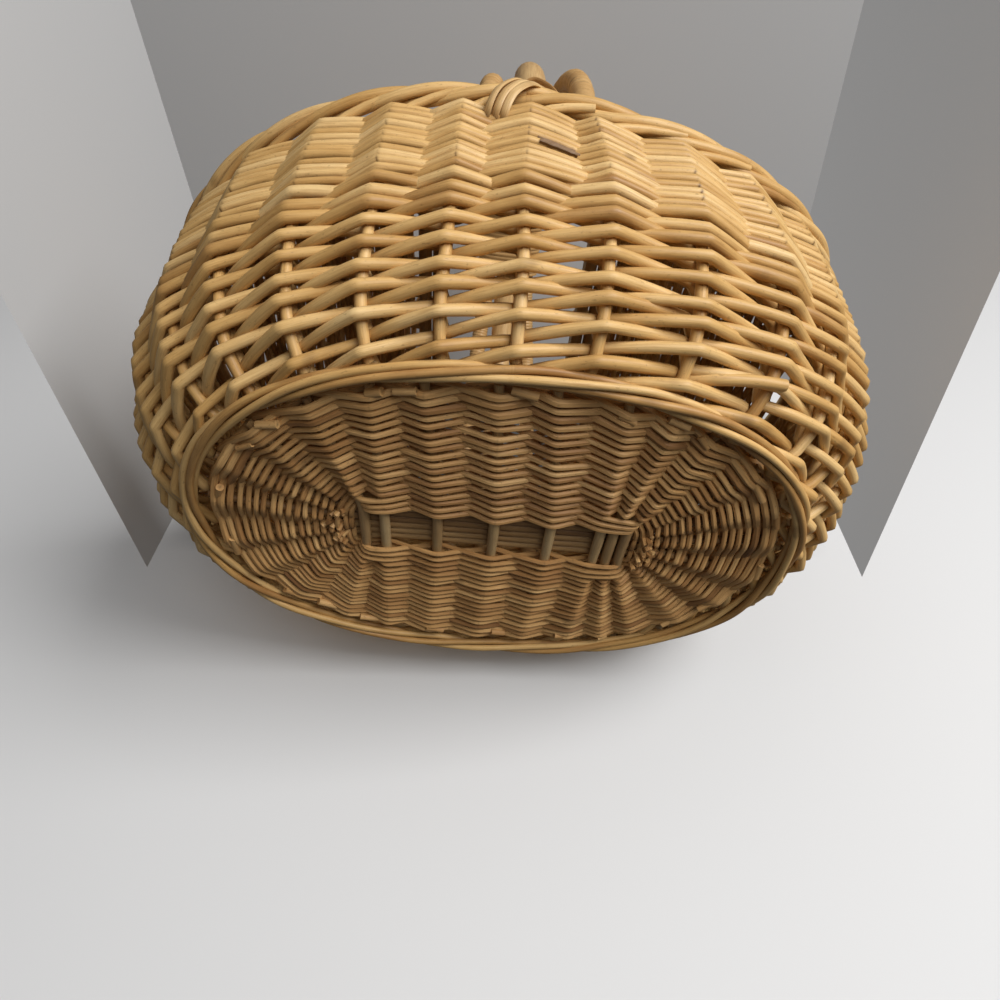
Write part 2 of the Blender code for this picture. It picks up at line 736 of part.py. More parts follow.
def make_loop(name, side, y, parent, parts, material):
    """Skein loop round the hinge bar and the lid's spine, a flat outline with thickness."""
    curve = bpy.data.curves.new(name, "CURVE")
    curve.dimensions = "2D"
    curve.fill_mode = "BOTH"
    curve.extrude = LOOP_HALF_WIDTH
    distance = spine_offset() - HINGE_BAR_OFFSET
    near, far = HINGE_BAR_RADIUS + LOOP_PLAY, LID_ROD_RADIUS + LOOP_PLAY
    for wall in (LOOP_SKEIN, 0):
        outline = hull_of_circles(near + wall, far + wall, distance)
        spline = curve.splines.new("POLY")
        spline.points.add(len(outline) - 1)
        for point, place in zip(spline.points, outline):
            point.co = (*place, 0, 1)
        spline.use_cyclic_u = True
    loop = add_object(name, curve, parts, material)
    loop.parent = parent
    loop.location = (0, y, 0)
    # The outline's x runs out from the bar, and its thickness along the bar
    facing = 0 if side > 0 else pi
    loop.rotation_euler = (pi / 2, 0, facing)
    return loop


def make_lid(hand, side, parts, weave, rod, skein):
    """One half-oval lid: frame rod, spine rod, woven panel and the loops that hang it."""
    pivot = bpy.data.objects.new(f"{hand}_lid_pivot", None)
    pivot.location = (side * HINGE_BAR_OFFSET, 0, hinge_height())
    parts.objects.link(pivot)

    def from_pivot(point):
        return Vector((side * point.x, point.y, point.z)) - Vector(pivot.location)

    rod_height = hinge_height()
    half_length, half_width = lid_sizes()
    spine_side = spine_offset() + LID_ROD_RADIUS + GAP
    # The frame meets the spine at a slant, so its square end stands back by that much
    slant = oval_outward(lid_outline_angle(spine_side, half_length)).x
    frame_start = spine_side + LID_ROD_RADIUS * slant
    limit = lid_outline_angle(frame_start, half_length)
    frame = []
    for index in range(LID_ARC_POINTS + 1):
        angle = limit * (2 * index / LID_ARC_POINTS - 1)
        frame.append(from_pivot(oval_point(angle, half_length, half_width) + UP * rod_height))
    add_rod(f"{hand}_lid_frame", frame, LID_ROD_RADIUS, parts, rod).parent = pivot

    reach = oval_half_width_at(frame_start, half_length, half_width) + SPINE_OVERHANG
    spine = [from_pivot(Vector((spine_offset(), end * reach, rod_height))) for end in (-1, 1)]
    add_rod(f"{hand}_lid_spine", spine, LID_ROD_RADIUS, parts, rod).parent = pivot

    loop_reach = spine_offset() + LID_ROD_RADIUS + LOOP_PLAY + LOOP_SKEIN + GAP
    panel = make_panel(f"{hand}_lid_panel", side, loop_reach, rod_height, parts, weave)
    panel.parent = pivot
    panel.matrix_parent_inverse = Matrix.Translation(-Vector(pivot.location))
    for index, y in enumerate(LOOP_PLACES):
        make_loop(f"{hand}_lid_loop_{index + 1}", side, y, pivot, parts, skein)


def make_panel(name, side, start, rod_height, parts, weave):
    """Woven panel of a lid, a little crowned, inside the frame and clear of the hinge loops."""
    half_length, half_width = lid_sizes(LID_ROD_RADIUS + GAP)
    limit = lid_outline_angle(start, half_length)
    under = rod_height - PANEL_THICKNESS / 2
    work = bmesh.new()
    hub = work.verts.new((side * start, 0, under))
    rows = []
    for share in PANEL_RING_SHARES:
        row = []
        for index in range(PANEL_FAN_POINTS + 1):
            angle = limit * (2 * index / PANEL_FAN_POINTS - 1)
            edge = oval_point(angle, half_length, half_width)
            point = Vector((start, 0, 0)).lerp(edge, share)
            crown = PANEL_CROWN * 4 * share * (1 - share) * cos(angle * pi / 2 / limit)
            row.append(work.verts.new((side * point.x, point.y, under + crown)))
        rows.append(row)
    for first, second in zip(rows[0], rows[0][1:]):
        work.faces.new((hub, first, second))
    for row, next_row in zip(rows, rows[1:]):
        for index in range(PANEL_FAN_POINTS):
            work.faces.new((row[index], next_row[index], next_row[index + 1], row[index + 1]))
    bmesh.ops.recalc_face_normals(work, faces=work.faces)
    if work.faces[0].normal.z < 0:
        bmesh.ops.reverse_faces(work, faces=work.faces)
    mesh = bpy.data.meshes.new(name)
    work.to_mesh(mesh)
    work.free()
    panel = add_object(name, mesh, parts, weave)
    thicken = panel.modifiers.new("thickness", "SOLIDIFY")
    thicken.thickness = PANEL_THICKNESS
    thicken.offset = 1
    smooth_faces(mesh)
    return panel


def main():
    clear_scene()
    parts = make_collection("wicker_picnic_basket")
    cutters = make_collection("cutters")
    willow = make_material("golden_willow", WILLOW, 0.55)
    base_willow = make_material("base_willow", BASE_WILLOW, 0.65)
    stick = make_material("peeled_stick", PEELED_STICK, 0.55)
    bow_wood = make_material("bow_wood", BOW_WOOD, 0.45)
    skein = make_material("willow_skein", SKEIN, 0.5)

    make_foot_border(parts, base_willow)
    make_base(parts, cutters, base_willow, stick)
    make_wall(parts, cutters, willow)
    make_rim(parts, willow)
    make_handle(parts, bow_wood, skein)
    make_lashings(parts, skein)
    for hand, side in (("left", -1), ("right", 1)):
        make_hinge_bar(f"{hand}_hinge_bar", side, parts, stick)
        make_lid(hand, side, parts, willow, stick, skein)


main()
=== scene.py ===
from math import pi, radians

import bpy
import numpy as np
from mathutils import Matrix, Vector


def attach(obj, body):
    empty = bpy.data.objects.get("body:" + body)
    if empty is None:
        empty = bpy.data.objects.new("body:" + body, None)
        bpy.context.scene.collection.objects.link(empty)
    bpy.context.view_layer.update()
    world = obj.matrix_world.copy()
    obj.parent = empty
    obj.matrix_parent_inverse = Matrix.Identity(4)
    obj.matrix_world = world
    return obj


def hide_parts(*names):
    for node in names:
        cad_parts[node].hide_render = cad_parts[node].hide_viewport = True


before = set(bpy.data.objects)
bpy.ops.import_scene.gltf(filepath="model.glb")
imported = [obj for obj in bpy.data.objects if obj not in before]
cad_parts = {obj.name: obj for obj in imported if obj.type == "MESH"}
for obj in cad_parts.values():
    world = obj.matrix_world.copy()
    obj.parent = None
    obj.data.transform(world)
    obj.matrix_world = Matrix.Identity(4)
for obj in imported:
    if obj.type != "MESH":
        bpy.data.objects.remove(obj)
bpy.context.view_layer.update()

# Camera fitted to the photograph
CAMERA_PLACE = Vector((-0.0129, -0.3410, -0.2328))
CAMERA_FORWARD = Vector((0.035, 0.7869, 0.6161))
CAMERA_UP = Vector((-0.0819, -0.6121, 0.7865))
CAMERA_LENS = 26.96

# The basket's shape, as the CAD model has it
OVAL_POWER = 2.2
STAKES = 30
FOOT_HALF = (0.1635, 0.1240)
WALL_HALF = (0.1605, 0.1210)
WALL_FLARE = (0.0455, 0.0465)
WALL_BOTTOM = 0.0087
WALL_HEIGHT = 0.1393
WALL_TOP = WALL_BOTTOM + WALL_HEIGHT
WALL_LEVELS = (0.0, 0.06, 0.13, 0.225, 0.34, 0.476, 0.64, 0.83, 1.0)
WALL_FLARES = (0.0, 0.33, 0.54, 0.72, 0.87, 0.96, 1.0, 0.985, 0.965)
RIM_HEIGHT = WALL_TOP + 0.0108
RIM_STAND_OFF = 0.0038
RIM_TWIST = 0.0031
RIM_ROD = 0.0029

UP = np.array((0.0, 0.0, 1.0))
ACROSS = np.array((1.0, 0.0, 0.0))
rng = np.random.default_rng(11)


# ---- ovals and the wall's surface ----

def oval(angle, half_length, half_width, power=OVAL_POWER):
    c, s = np.cos(angle), np.sin(angle)
    share = 2 / power
    return half_length * np.sign(c) * np.abs(c) ** share, half_width * np.sign(s) * np.abs(s) ** share


def stack(x, y, z):
    return np.stack(np.broadcast_arrays(x, y, z), axis=-1).astype(float)


def unit(vectors):
    return vectors / np.linalg.norm(vectors, axis=-1, keepdims=True)


FINE_ANGLES = np.linspace(-pi / 2, 3 * pi / 2, 7201)
WIDEST = (WALL_HALF[0] + WALL_FLARE[0], WALL_HALF[1] + WALL_FLARE[1])
FINE_X, FINE_Y = oval(FINE_ANGLES, *WIDEST)
FINE_TRAVEL = np.concatenate(([0], np.cumsum(np.hypot(np.diff(FINE_X), np.diff(FINE_Y)))))


def station_angle(station):
    """Angle of a stake's station. Stations are even along the wall, 0 at the middle of the -Y side."""
    share = np.mod(station, STAKES) / STAKES
    return np.interp(share * FINE_TRAVEL[-1], FINE_TRAVEL, FINE_ANGLES)


def outward(angle):
    """Level direction square to the wall."""
    x, y = oval(angle, *WIDEST)
    slope = OVAL_POWER - 1
    along_x = np.sign(x) * np.abs(x / WIDEST[0]) ** slope / WIDEST[0]
    along_y = np.sign(y) * np.abs(y / WIDEST[1]) ** slope / WIDEST[1]
    return unit(stack(along_x, along_y, 0))


FINE_LEVELS = np.arange(-0.03, 1.12, 0.004)
FLARE_SMOOTHING = 13
STEEPEST_SLOPE = 1.3


def fine_flares():
    rough = np.interp(FINE_LEVELS, WALL_LEVELS, WALL_FLARES)
    rough = rough + np.minimum(FINE_LEVELS, 0) * WALL_FLARES[1] / WALL_LEVELS[1]
    kernel = np.hanning(FLARE_SMOOTHING)
    padded = np.pad(rough, FLARE_SMOOTHING // 2, mode="reflect", reflect_type="odd")
    return np.convolve(padded, kernel / kernel.sum(), mode="valid")


FINE_FLARES = fine_flares()
FINE_SLOPES = np.gradient(FINE_FLARES, FINE_LEVELS) * WALL_FLARE[1] / WALL_HEIGHT


def wall_half(height):
    flare = np.interp((height - WALL_BOTTOM) / WALL_HEIGHT, FINE_LEVELS, FINE_FLARES)
    return WALL_HALF[0] + WALL_FLARE[0] * flare, WALL_HALF[1] + WALL_FLARE[1] * flare


def wall_slope(height):
    """How far the wall goes out for each metre that it rises, and the cosine of that slant."""
    slope = np.interp((height - WALL_BOTTOM) / WALL_HEIGHT, FINE_LEVELS, FINE_SLOPES)
    slope = np.minimum(slope, STEEPEST_SLOPE)
    return slope, 1 / np.sqrt(1 + slope ** 2)


# How far the stakes stand round from even stations, at four heights
SHIFT_STATIONS = (-15, -9, -7, -5, -4, -3, -2, -1, 0, 1, 2, 3, 4, 5.5, 7, 9, 15)
SHIFT_HEIGHTS = (0.0125, 0.045, 0.08, 0.148)
SHIFTS = (
    (0, 0, 0.10, 0.18, 0.05, 0.03, 0.00, 0.00, 0.00, 0.04, 0.28, 0.54, 0.71, 0.52, 0.28, 0, 0),
    (0, 0, 0.15, 0.25, 0.20, 0.22, 0.20, 0.12, -0.01, -0.04, 0.10, 0.34, 0.40, 0.38, 0.20, 0, 0),
    (0, 0, 0.15, 0.30, 0.28, 0.33, 0.31, 0.18, -0.06, -0.07, 0.01, 0.25, 0.24, 0.20, 0.12, 0, 0),
    (0, 0, 0.10, 0.20, 0.22, 0.34, 0.27, 0.15, -0.02, -0.22, -0.10, -0.10, -0.05, 0, 0, 0, 0),
)
# Where the top edge hangs lower, and the height from which the wall follows it
DIP_STATIONS = (0.2, 1, 2, 3, 4.5, 6)
DIPS = (0, 0.0062, 0.0075, 0.0062, 0.0022, 0)
DIP_FROM = 0.080


def signed_station(station):
    return np.mod(np.asarray(station, float) + STAKES / 2, STAKES) - STAKES / 2


def station_shift(station, height):
    profiles = [np.interp(signed_station(station), SHIFT_STATIONS, shifts) for shifts in SHIFTS]
    level = np.interp(height, SHIFT_HEIGHTS, range(len(SHIFT_HEIGHTS)))
    return sum(profile * np.clip(1 - np.abs(level - number), 0, 1) for number, profile in enumerate(profiles))


def top_dip(station):
    return np.interp(signed_station(station), DIP_STATIONS, DIPS)


def wall_point(station, height, out):
    """Point of the wall, out being square to its surface."""
    angle = station_angle(station + station_shift(station, height))
    height = height - top_dip(station) * np.clip((height - DIP_FROM) / (WALL_TOP - DIP_FROM), 0, 1)
    half_length, half_width = wall_half(height)
    slope, cosine = wall_slope(height)
    x, y = oval(angle, half_length, half_width)
    level = outward(angle) * (out * cosine)[..., None]
    return stack(x, y, height - out * slope * cosine) + level


def linked(name, data):
    """New object in the scene."""
    thing = bpy.data.objects.new(name, data)
    bpy.context.scene.collection.objects.link(thing)
    return thing


# ---- rods as tubes ----

def wobble(travel, size, shortest, longest, waves=4):
    """Smooth irregular wave along a rod."""
    total = np.zeros(len(travel))
    for wave in range(waves):
        length = rng.uniform(shortest, longest)
        total += np.sin(travel * 2 * pi / length + rng.uniform(0, 2 * pi))
    return total * size / waves ** 0.5


# How far up a rod's side the painted shade under its kinks reaches, and the angle from which an edge is sharp
LOW_SIDE = 0.55
SHARP_ANGLE = radians(50)


class Strands:
    """Tubes that are gathered and then made into one mesh piece."""

    def __init__(self, name):
        self.name = name
        self.points, self.rods, self.tones, self.end_grain_and_shade = [], [], [], []
        self.faces = []
        self.count = 0

    def add(self, path, radius, reference, sides=8, flat=1.0, tone=None, uneven=0.05, closed=False,
            marks=None):
        """A rod along a path. reference is a direction that the rod's section is set to."""
        path = np.asarray(path, float)
        count = len(path)
        if closed:
            tangent = unit(np.roll(path, -1, 0) - np.roll(path, 1, 0))
        else:
            tangent = unit(np.gradient(path, axis=0))
        step = np.linalg.norm(np.diff(path, axis=0), axis=1)
        travel = np.concatenate(([0], np.cumsum(step)))
        reference = np.broadcast_to(reference, path.shape)
        normal = unit(reference - tangent * np.sum(reference * tangent, axis=1, keepdims=True))
        side = np.cross(tangent, normal)
        radius = np.broadcast_to(radius, (count,)) * (1 + wobble(travel, uneven, 0.03, 0.15))
        turn = 2 * pi * np.arange(sides) / sides
        cos, sin = np.cos(turn), np.sin(turn)
        grid = (
            path[:, None] + radius[:, None, None]
            * (side[:, None] * cos[None, :, None] + flat * normal[:, None] * sin[None, :, None])
        )
        start = rng.uniform(0, 40, 3)
        coordinate = np.stack(np.broadcast_arrays(
            travel[:, None] + start[0],
            radius[:, None] * cos + start[1],
            radius[:, None] * sin + start[2],
        ), axis=-1)
        tone = rng.uniform(0, 1) if tone is None else tone
        marks = np.zeros(count) if marks is None else marks
        # Painted shade: the rod's low side is darkened where it kinks; its capped ends get the darker colour
        # of their own end grain
        low_side = np.clip(LOW_SIDE - sin, 0.0, 1.0)
        self.skin(grid, coordinate, marks[:, None] * low_side, tone, closed, cap_mark=1.0)

    def skin(self, grid, coordinate, marks, tone=0.5, closed=False, cap_mark=0.0):
        """A skin over a grid of points, closed round its second axis. Open ends are capped."""
        rows, sides = grid.shape[:2]
        total = rows * sides
        index = self.count + np.arange(total).reshape(rows, sides)
        low = index if closed else index[:-1]
        high = np.roll(index, -1, 0) if closed else index[1:]
        quads = np.stack((low, np.roll(low, -1, 1), np.roll(high, -1, 1), high), axis=-1)
        self.faces += quads.reshape(-1, 4).tolist()
        points, rods = [grid.reshape(-1, 3)], [coordinate.reshape(-1, 3)]
        # Painted shade for each point; the middle of each cap gets the dark of its own end grain
        end_grain_and_shade = [marks.ravel()]
        for end in () if closed else (0, rows - 1):
            middle = self.count + total
            loop = index[end] if end else index[end][::-1]
            self.faces += [[int(a), int(b), middle] for a, b in zip(loop, np.roll(loop, -1))]
            points.append(grid[end].mean(axis=0)[None])
            rods.append(coordinate[end].mean(axis=0)[None])
            end_grain_and_shade.append(np.full(1, cap_mark))
            total += 1
        self.points += points
        self.rods += rods
        self.end_grain_and_shade += end_grain_and_shade
        self.tones.append(np.full(total, tone))
        self.count += total

    def piece(self, material, body, slot, *nodes):
        mesh = bpy.data.meshes.new(self.name)
        mesh.from_pydata(np.concatenate(self.points).tolist(), [], self.faces)
        # The cut attribute carries the dark end grain of cut ends and the painted shade under kinks and
        # between turns of skein
        for name, kind, parts in (("rod", "FLOAT_VECTOR", self.rods), ("tone", "FLOAT", self.tones),
                                  ("cut", "FLOAT", self.end_grain_and_shade)):
            attribute = mesh.attributes.new(name, kind, "POINT")
            values = np.concatenate(parts).astype(np.float32)
            attribute.data.foreach_set("vector" if kind == "FLOAT_VECTOR" else "value", values.ravel())
        mesh.shade_smooth()
        mesh.set_sharp_from_angle(angle=SHARP_ANGLE)
        mesh.materials.append(material)
        piece = linked(self.name, mesh)
        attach(piece, body)
        if nodes:
            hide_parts(*nodes)
        return piece


# ---- materials ----

def willow(name, colours, roughness=0.5, speck=0.35, grain=1.0, bump=0.25, from_object=False):
    """Peeled willow: long grain, darker streaks, specks and small knots, each rod its own tone, darker end
    grain at its cut ends, and painted shade under kinks and between turns of skein.

    colours run from the darkest tone to the palest."""
    material = bpy.data.materials.new(name)
    material.use_nodes = True
    nodes, links = material.node_tree.nodes, material.node_tree.links
    shader = nodes["Principled BSDF"]

    def node(kind, **values):
        made = nodes.new(kind)
        for key, value in values.items():
            setattr(made, key, value)
        return made

    def wire(output, target):
        links.new(output, target)

    def mapped(source, scale):
        mapping = node("ShaderNodeMapping")
        wire(source, mapping.inputs["Vector"])
        mapping.inputs["Scale"].default_value = scale
        return mapping.outputs["Vector"]

    def noise(source, scale, detail=3.0, rough=0.55):
        made = node("ShaderNodeTexNoise")
        wire(source, made.inputs["Vector"])
        made.inputs["Scale"].default_value = scale
        made.inputs["Detail"].default_value = detail
        made.inputs["Roughness"].default_value = rough
        return made.outputs["Fac"]

    def ramp(source, stops):
        made = node("ShaderNodeValToRGB")
        elements = made.color_ramp.elements
        while len(elements) < len(stops):
            elements.new(0.5)
        for element, (place, colour) in zip(elements, stops):
            element.position = place
            element.color = (*colour, 1) if len(colour) == 3 else colour
        wire(source, made.inputs["Fac"])
        return made.outputs["Color"]

    def level(source, low, high):
        made = node("ShaderNodeMapRange")
        wire(source, made.inputs["Value"])
        made.inputs["From Min"].default_value = low
        made.inputs["From Max"].default_value = high
        return made.outputs["Result"]

    def combine(operation, first, second):
        made = node("ShaderNodeMath", operation=operation)
        for socket, value in zip(made.inputs, (first, second)):
            if isinstance(value, (int, float)):
                socket.default_value = value
            else:
                wire(value, socket)
        return made.outputs["Value"]

    def mix(blend, factor, first, second):
        made = node("ShaderNodeMix", data_type="RGBA", blend_type=blend)
        for socket, value in ((made.inputs[0], factor), (made.inputs[6], first), (made.inputs[7], second)):
            if isinstance(value, tuple):
                socket.default_value = (*value, 1)
            elif isinstance(value, (int, float)):
                socket.default_value = value
            else:
                wire(value, socket)
        return made.outputs[2]

    if from_object:
        place = node("ShaderNodeTexCoord").outputs["Object"]
        tone = noise(mapped(place, (1, 1, 1)), 9.0, 1.0)
        cut = None
    else:
        place = node("ShaderNodeAttribute", attribute_name="rod").outputs["Vector"]
        tone = node("ShaderNodeAttribute", attribute_name="tone").outputs["Fac"]
        cut = node("ShaderNodeAttribute", attribute_name="cut").outputs["Fac"]
    patches = noise(mapped(place, (22, 60, 60)), 1.0, 3.0)
    fibres = noise(mapped(place, (70, 1500, 1500)), 1.0, 4.0, 0.65)
    streaks = noise(mapped(place, (28, 520, 520)), 1.0, 3.0)
    specks = noise(mapped(place, (420, 900, 900)), 1.0, 2.0)
    knots = noise(mapped(place, (34, 34, 34)), 1.0, 1.0)

    whole = combine("ADD", combine("MULTIPLY", tone, 0.42), combine("MULTIPLY", patches, 0.62))
    count = len(colours)
    colour = ramp(whole, [(0.22 + 0.56 * index / (count - 1), c) for index, c in enumerate(colours)])
    dark, darker = colours[0], tuple(c * 0.42 for c in colours[0])
    fibre_tint = ramp(fibres, [(0.3, (0.62, 0.52, 0.42)), (0.6, (1, 1, 1))])
    colour = mix("MULTIPLY", 0.55 * grain, colour, fibre_tint)
    colour = mix("MIX", combine("MULTIPLY", level(streaks, 0.60, 0.74), 0.5), colour, dark)
    colour = mix("MIX", combine("MULTIPLY", level(specks, 0.64, 0.72), speck), colour, darker)
    knot = level(knots, 0.70, 0.76)
    colour = mix("MIX", combine("MULTIPLY", knot, 0.55), colour, darker)
    # The cut attribute darkens the end grain of cut ends, and paints shade under kinks and between turns of
    # skein
    if cut is not None:
        colour = mix("MIX", combine("MULTIPLY", combine("POWER", cut, 2.5), 0.75), colour, darker)
    wire(colour, shader.inputs["Base Color"])
    gloss = combine("ADD", combine("MULTIPLY", fibres, 0.22), roughness - 0.11)
    wire(combine("ADD", gloss, combine("MULTIPLY", knot, 0.15)), shader.inputs["Roughness"])
    shader.inputs["Specular IOR Level"].default_value = 0.35
    relief = combine("ADD", fibres, combine("MULTIPLY", streaks, 0.8))
    relief = combine("SUBTRACT", relief, combine("MULTIPLY", knot, 0.5))
    bumped = node("ShaderNodeBump")
    bumped.inputs["Strength"].default_value = bump
    bumped.inputs["Distance"].default_value = 0.0005
    wire(relief, bumped.inputs["Height"])
    wire(bumped.outputs["Normal"], shader.inputs["Normal"])
    return material


STICK_COLOURS = ((0.33, 0.19, 0.08), (0.46, 0.29, 0.125), (0.54, 0.36, 0.165), (0.62, 0.44, 0.22))
SKEIN_COLOURS = ((0.30, 0.15, 0.05), (0.47, 0.27, 0.10), (0.60, 0.38, 0.16), (0.72, 0.50, 0.24))
GOLDEN = willow("golden_willow_rods", (
    (0.37, 0.185, 0.058), (0.57, 0.335, 0.112), (0.68, 0.43, 0.165), (0.77, 0.53, 0.24)), 0.46)
BROWN = willow("base_willow_rods", (
    (0.22, 0.100, 0.032), (0.44, 0.225, 0.078), (0.60, 0.34, 0.125), (0.78, 0.485, 0.20)), 0.55, 0.45)
STICK = willow("peeled_sticks", STICK_COLOURS)
SLAT = willow("core_rods", (
    (0.20, 0.10, 0.035), (0.33, 0.18, 0.065), (0.42, 0.25, 0.10), (0.48, 0.30, 0.13)), 0.55)
BOW = willow("bow_wood", (
    (0.33, 0.165, 0.055), (0.48, 0.27, 0.10), (0.58, 0.36, 0.15), (0.66, 0.44, 0.20)), 0.42, 0.3, 1.3)
SKEIN = willow("willow_skein", SKEIN_COLOURS, 0.42, 0.3, 1.2)


# ---- pairing weave ----

# Shares of a span at which a rod has points. Its step behind a stake takes HIDDEN to each side.
HIDDEN = 0.035
SPAN_SHARES = np.array((0.0, HIDDEN, 0.09, 0.17, 0.30, 0.44, 0.58, 0.72, 0.84, 0.91, 1 - HIDDEN))
SPAN_POINTS = len(SPAN_SHARES)
KINK_SMOOTHING = 0.12


def weave_line(count, first, crossing, lift, drop, trade=0.0):
    """Stations of one rod over count + 1 spans, how far in front of the stakes it lies, and its slide.

    The rod starts behind the station first, and lies in front of every second one. From there it
    runs straight, lift up, until it goes behind the next, and comes out drop lower. trade is how far
    it slides for each unit that it lies off the straight line from one stake to the next."""
    knots, waves, slides = [], [], []
    for number in range(count + 2):
        station = first + number
        c = crossing(station)
        if number % 2:
            knots += [number, number + c, number + 1 - HIDDEN]
            waves += [1, 0, HIDDEN / (1 - c) - 1]
            slides += [0, lift * c, lift]
        else:
            knots += [number, number + HIDDEN, number + c]
            waves += [-1, HIDDEN / c - 1, 0]
            slides += [(lift - drop) / 2, -drop, -drop * (1 - c)]
    spans = (np.arange(count + 1)[:, None] + SPAN_SHARES).ravel()[:-SPAN_POINTS + 1]
    kinks = np.arange(SPAN_POINTS, len(spans), 2 * SPAN_POINTS)
    wave, slide = np.interp(spans, knots, waves), np.interp(spans, knots, slides)
    even = np.abs(np.mod(spans + 1, 2) - 1) * -2 + 1
    return spans + first, wave, slide - trade * (even + wave), kinks


def smoothed(path, keep=None):
    """Rounds the corners of a path. Points in keep move less."""
    weight = np.full((len(path), 1), 0.5)
    if keep is not None:
        weight[keep] = KINK_SMOOTHING
    weight[0] = weight[-1] = 0
    middle = path.copy()
    middle[1:-1] = (path[:-2] + path[2:]) / 2
    return path * (1 - weight) + middle * weight


# Rows of the wall at the middle stake: height, rod radius, rise of a rod until it goes behind the
# next stake, how much lower it comes out, and where the pair crosses between two stakes
WALL_ROWS = (
    (0.0085, 0.00285, 0.0032, 0.0087, 0.45),
    (0.0182, 0.00290, 0.0029, 0.0085, 0.42),
    (0.0270, 0.00285, 0.0038, 0.0063, 0.40),
    (0.0352, 0.00275, 0.0022, 0.0047, 0.32),
    (0.0458, 0.00275, 0.0023, 0.0033, 0.30),
    (0.0550, 0.00275, 0.0025, 0.0017, 0.30),
    (0.0640, 0.00290, 0.0020, 0.0012, 0.38),
    (0.0722, 0.00280, 0.0010, 0.0012, 0.46),
    (0.0812, 0.00270, 0.0006, 0.0016, 0.54),
    (0.0880, 0.00215, 0.0004, 0.0018, 0.60),
    (0.0934, 0.00235, 0.0003, 0.0016, 0.62),
    (0.0989, 0.00230, 0.0002, 0.0015, 0.62),
) + tuple((height, radius, 0.0002, 0.0014, 0.62) for height, radius in (
    (0.1042, 0.00215), (0.1102, 0.00240), (0.1162, 0.00240), (0.1220, 0.00225),
    (0.1285, 0.00250), (0.1350, 0.00240), (0.1412, 0.00230), (0.1470, 0.00215)))
# The rows from this one on are packed tightly
TIGHT_FROM = 9
# Where the pair crosses in the tight rows, by stake
TIGHT_CROSSINGS = {-3: 0.64, -2: 0.60, -1: 0.42, 0: 0.74, 1: 0.55, 2: 0.60}
# How unevenly the loose and the tight rows lie, and how unevenly the pairs cross
ROW_SPREAD = (0.00022, 0.00034)
CROSSING_SPREAD = 0.05
# Strength of the painted shade under the kinks of the tight rows
KINK_SHADE = (0.2, 1.2)
# Rise and fall of a row, once and twice round the basket, which fades out below the top edge
WAVES = (0.0007, 0.0004)
WAVE_FADE = 0.02
STAKE_RADIUS = 0.0029
ROD_TAPER = (1.06, 0.94)
ROD_TOUCH = 0.98


def make_wall():
    rods = Strands("wall_rods")
    for number, (height, radius, lift, drop, crossing) in enumerate(WALL_ROWS):
        tight = number >= TIGHT_FROM
        offsets = rng.normal(0, ROW_SPREAD[tight], STAKES)
        phases = rng.uniform(0, 2 * pi, 2)
        vary = rng.uniform(-CROSSING_SPREAD, CROSSING_SPREAD, STAKES)

        def crossing_at(station):
            signed = (station + STAKES // 2) % STAKES - STAKES // 2
            usual = TIGHT_CROSSINGS.get(signed, crossing) if tight else crossing
            return usual + vary[station % STAKES]

        reach = STAKE_RADIUS + radius * ROD_TOUCH
        slope, cosine = wall_slope(np.array(height + reach * 0.5))
        middle = height + reach * slope * cosine
        # Seen from the photograph's place, a rod of an open row that moves out seems to move up
        view = np.arctan2(height - CAMERA_PLACE.z, -CAMERA_PLACE.y - wall_half(height)[1])
        trade = 0.0 if tight else reach * np.tan(view - np.arctan(slope))
        for hand in (0, 1):
            first = int(rng.integers(0, STAKES // 2)) * 2 + hand
            places, wave, slide, kinks = weave_line(STAKES, first, crossing_at, lift, drop, trade)
            local = np.interp(np.mod(places, STAKES), np.arange(STAKES + 1), np.append(offsets, offsets[0]))
            ripple = sum(size * np.sin(places * 2 * pi * (turns + 1) / STAKES + phases[turns])
                         for turns, size in enumerate(WAVES))
            fade = np.clip((WALL_TOP - height) / WAVE_FADE, 0, 1)
            level = middle + slide * cosine + local + ripple * fade
            path = smoothed(wall_point(places, level, wave * reach), kinks)
            marks = np.zeros(len(path))
            if tight:
                # Painted shade on the rod's low side at its kinks
                marks[kinks] = rng.uniform(*KINK_SHADE, len(kinks))
            rods.add(path, radius * np.linspace(*ROD_TAPER, len(path)), UP, 8, marks=marks)
    make_wall_ends(rods)
    rods.piece(GOLDEN, "basket", "golden_willow", "wall_weave")


CUT_END_RADIUS = 0.0030
CUT_END_START = 2.05
CUT_END_SPAN = 0.98
FIBRE_RADIUS = 0.0009
FIBRE_SPAN = 0.50
FIBRE_HEIGHT = 0.1112
# How far below, and from which station, each fibre of the broken end starts
FIBRES = ((0.0000, 0.12), (0.0013, 0.18), (0.0027, 0.15))


def make_wall_ends(rods):
    """A cut end over a stake, and a broken end between two rows."""
    count = 12
    share = np.linspace(0, 1, count)
    reach = STAKE_RADIUS + WALL_ROWS[1][1]
    depth = np.interp(share, (0, 0.35, 1), (-reach, 0.001, reach + 0.0022))
    line = wall_point(CUT_END_START + CUT_END_SPAN * share, 0.0240 - 0.0100 * (1 - share), depth)
    rods.add(line, CUT_END_RADIUS, UP, 10, tone=0.5)
    for below, start in FIBRES:
        place = start + FIBRE_SPAN * share
        depth = reach * (1 - place / TIGHT_CROSSINGS[0]) + 0.0014
        height = FIBRE_HEIGHT - below + rng.normal(0, 0.0002, count)
        # The broken fibres get painted shade along their low sides
        rods.add(wall_point(place, height, depth), FIBRE_RADIUS, UP, 6, tone=0.0, marks=np.full(count, 1.6))


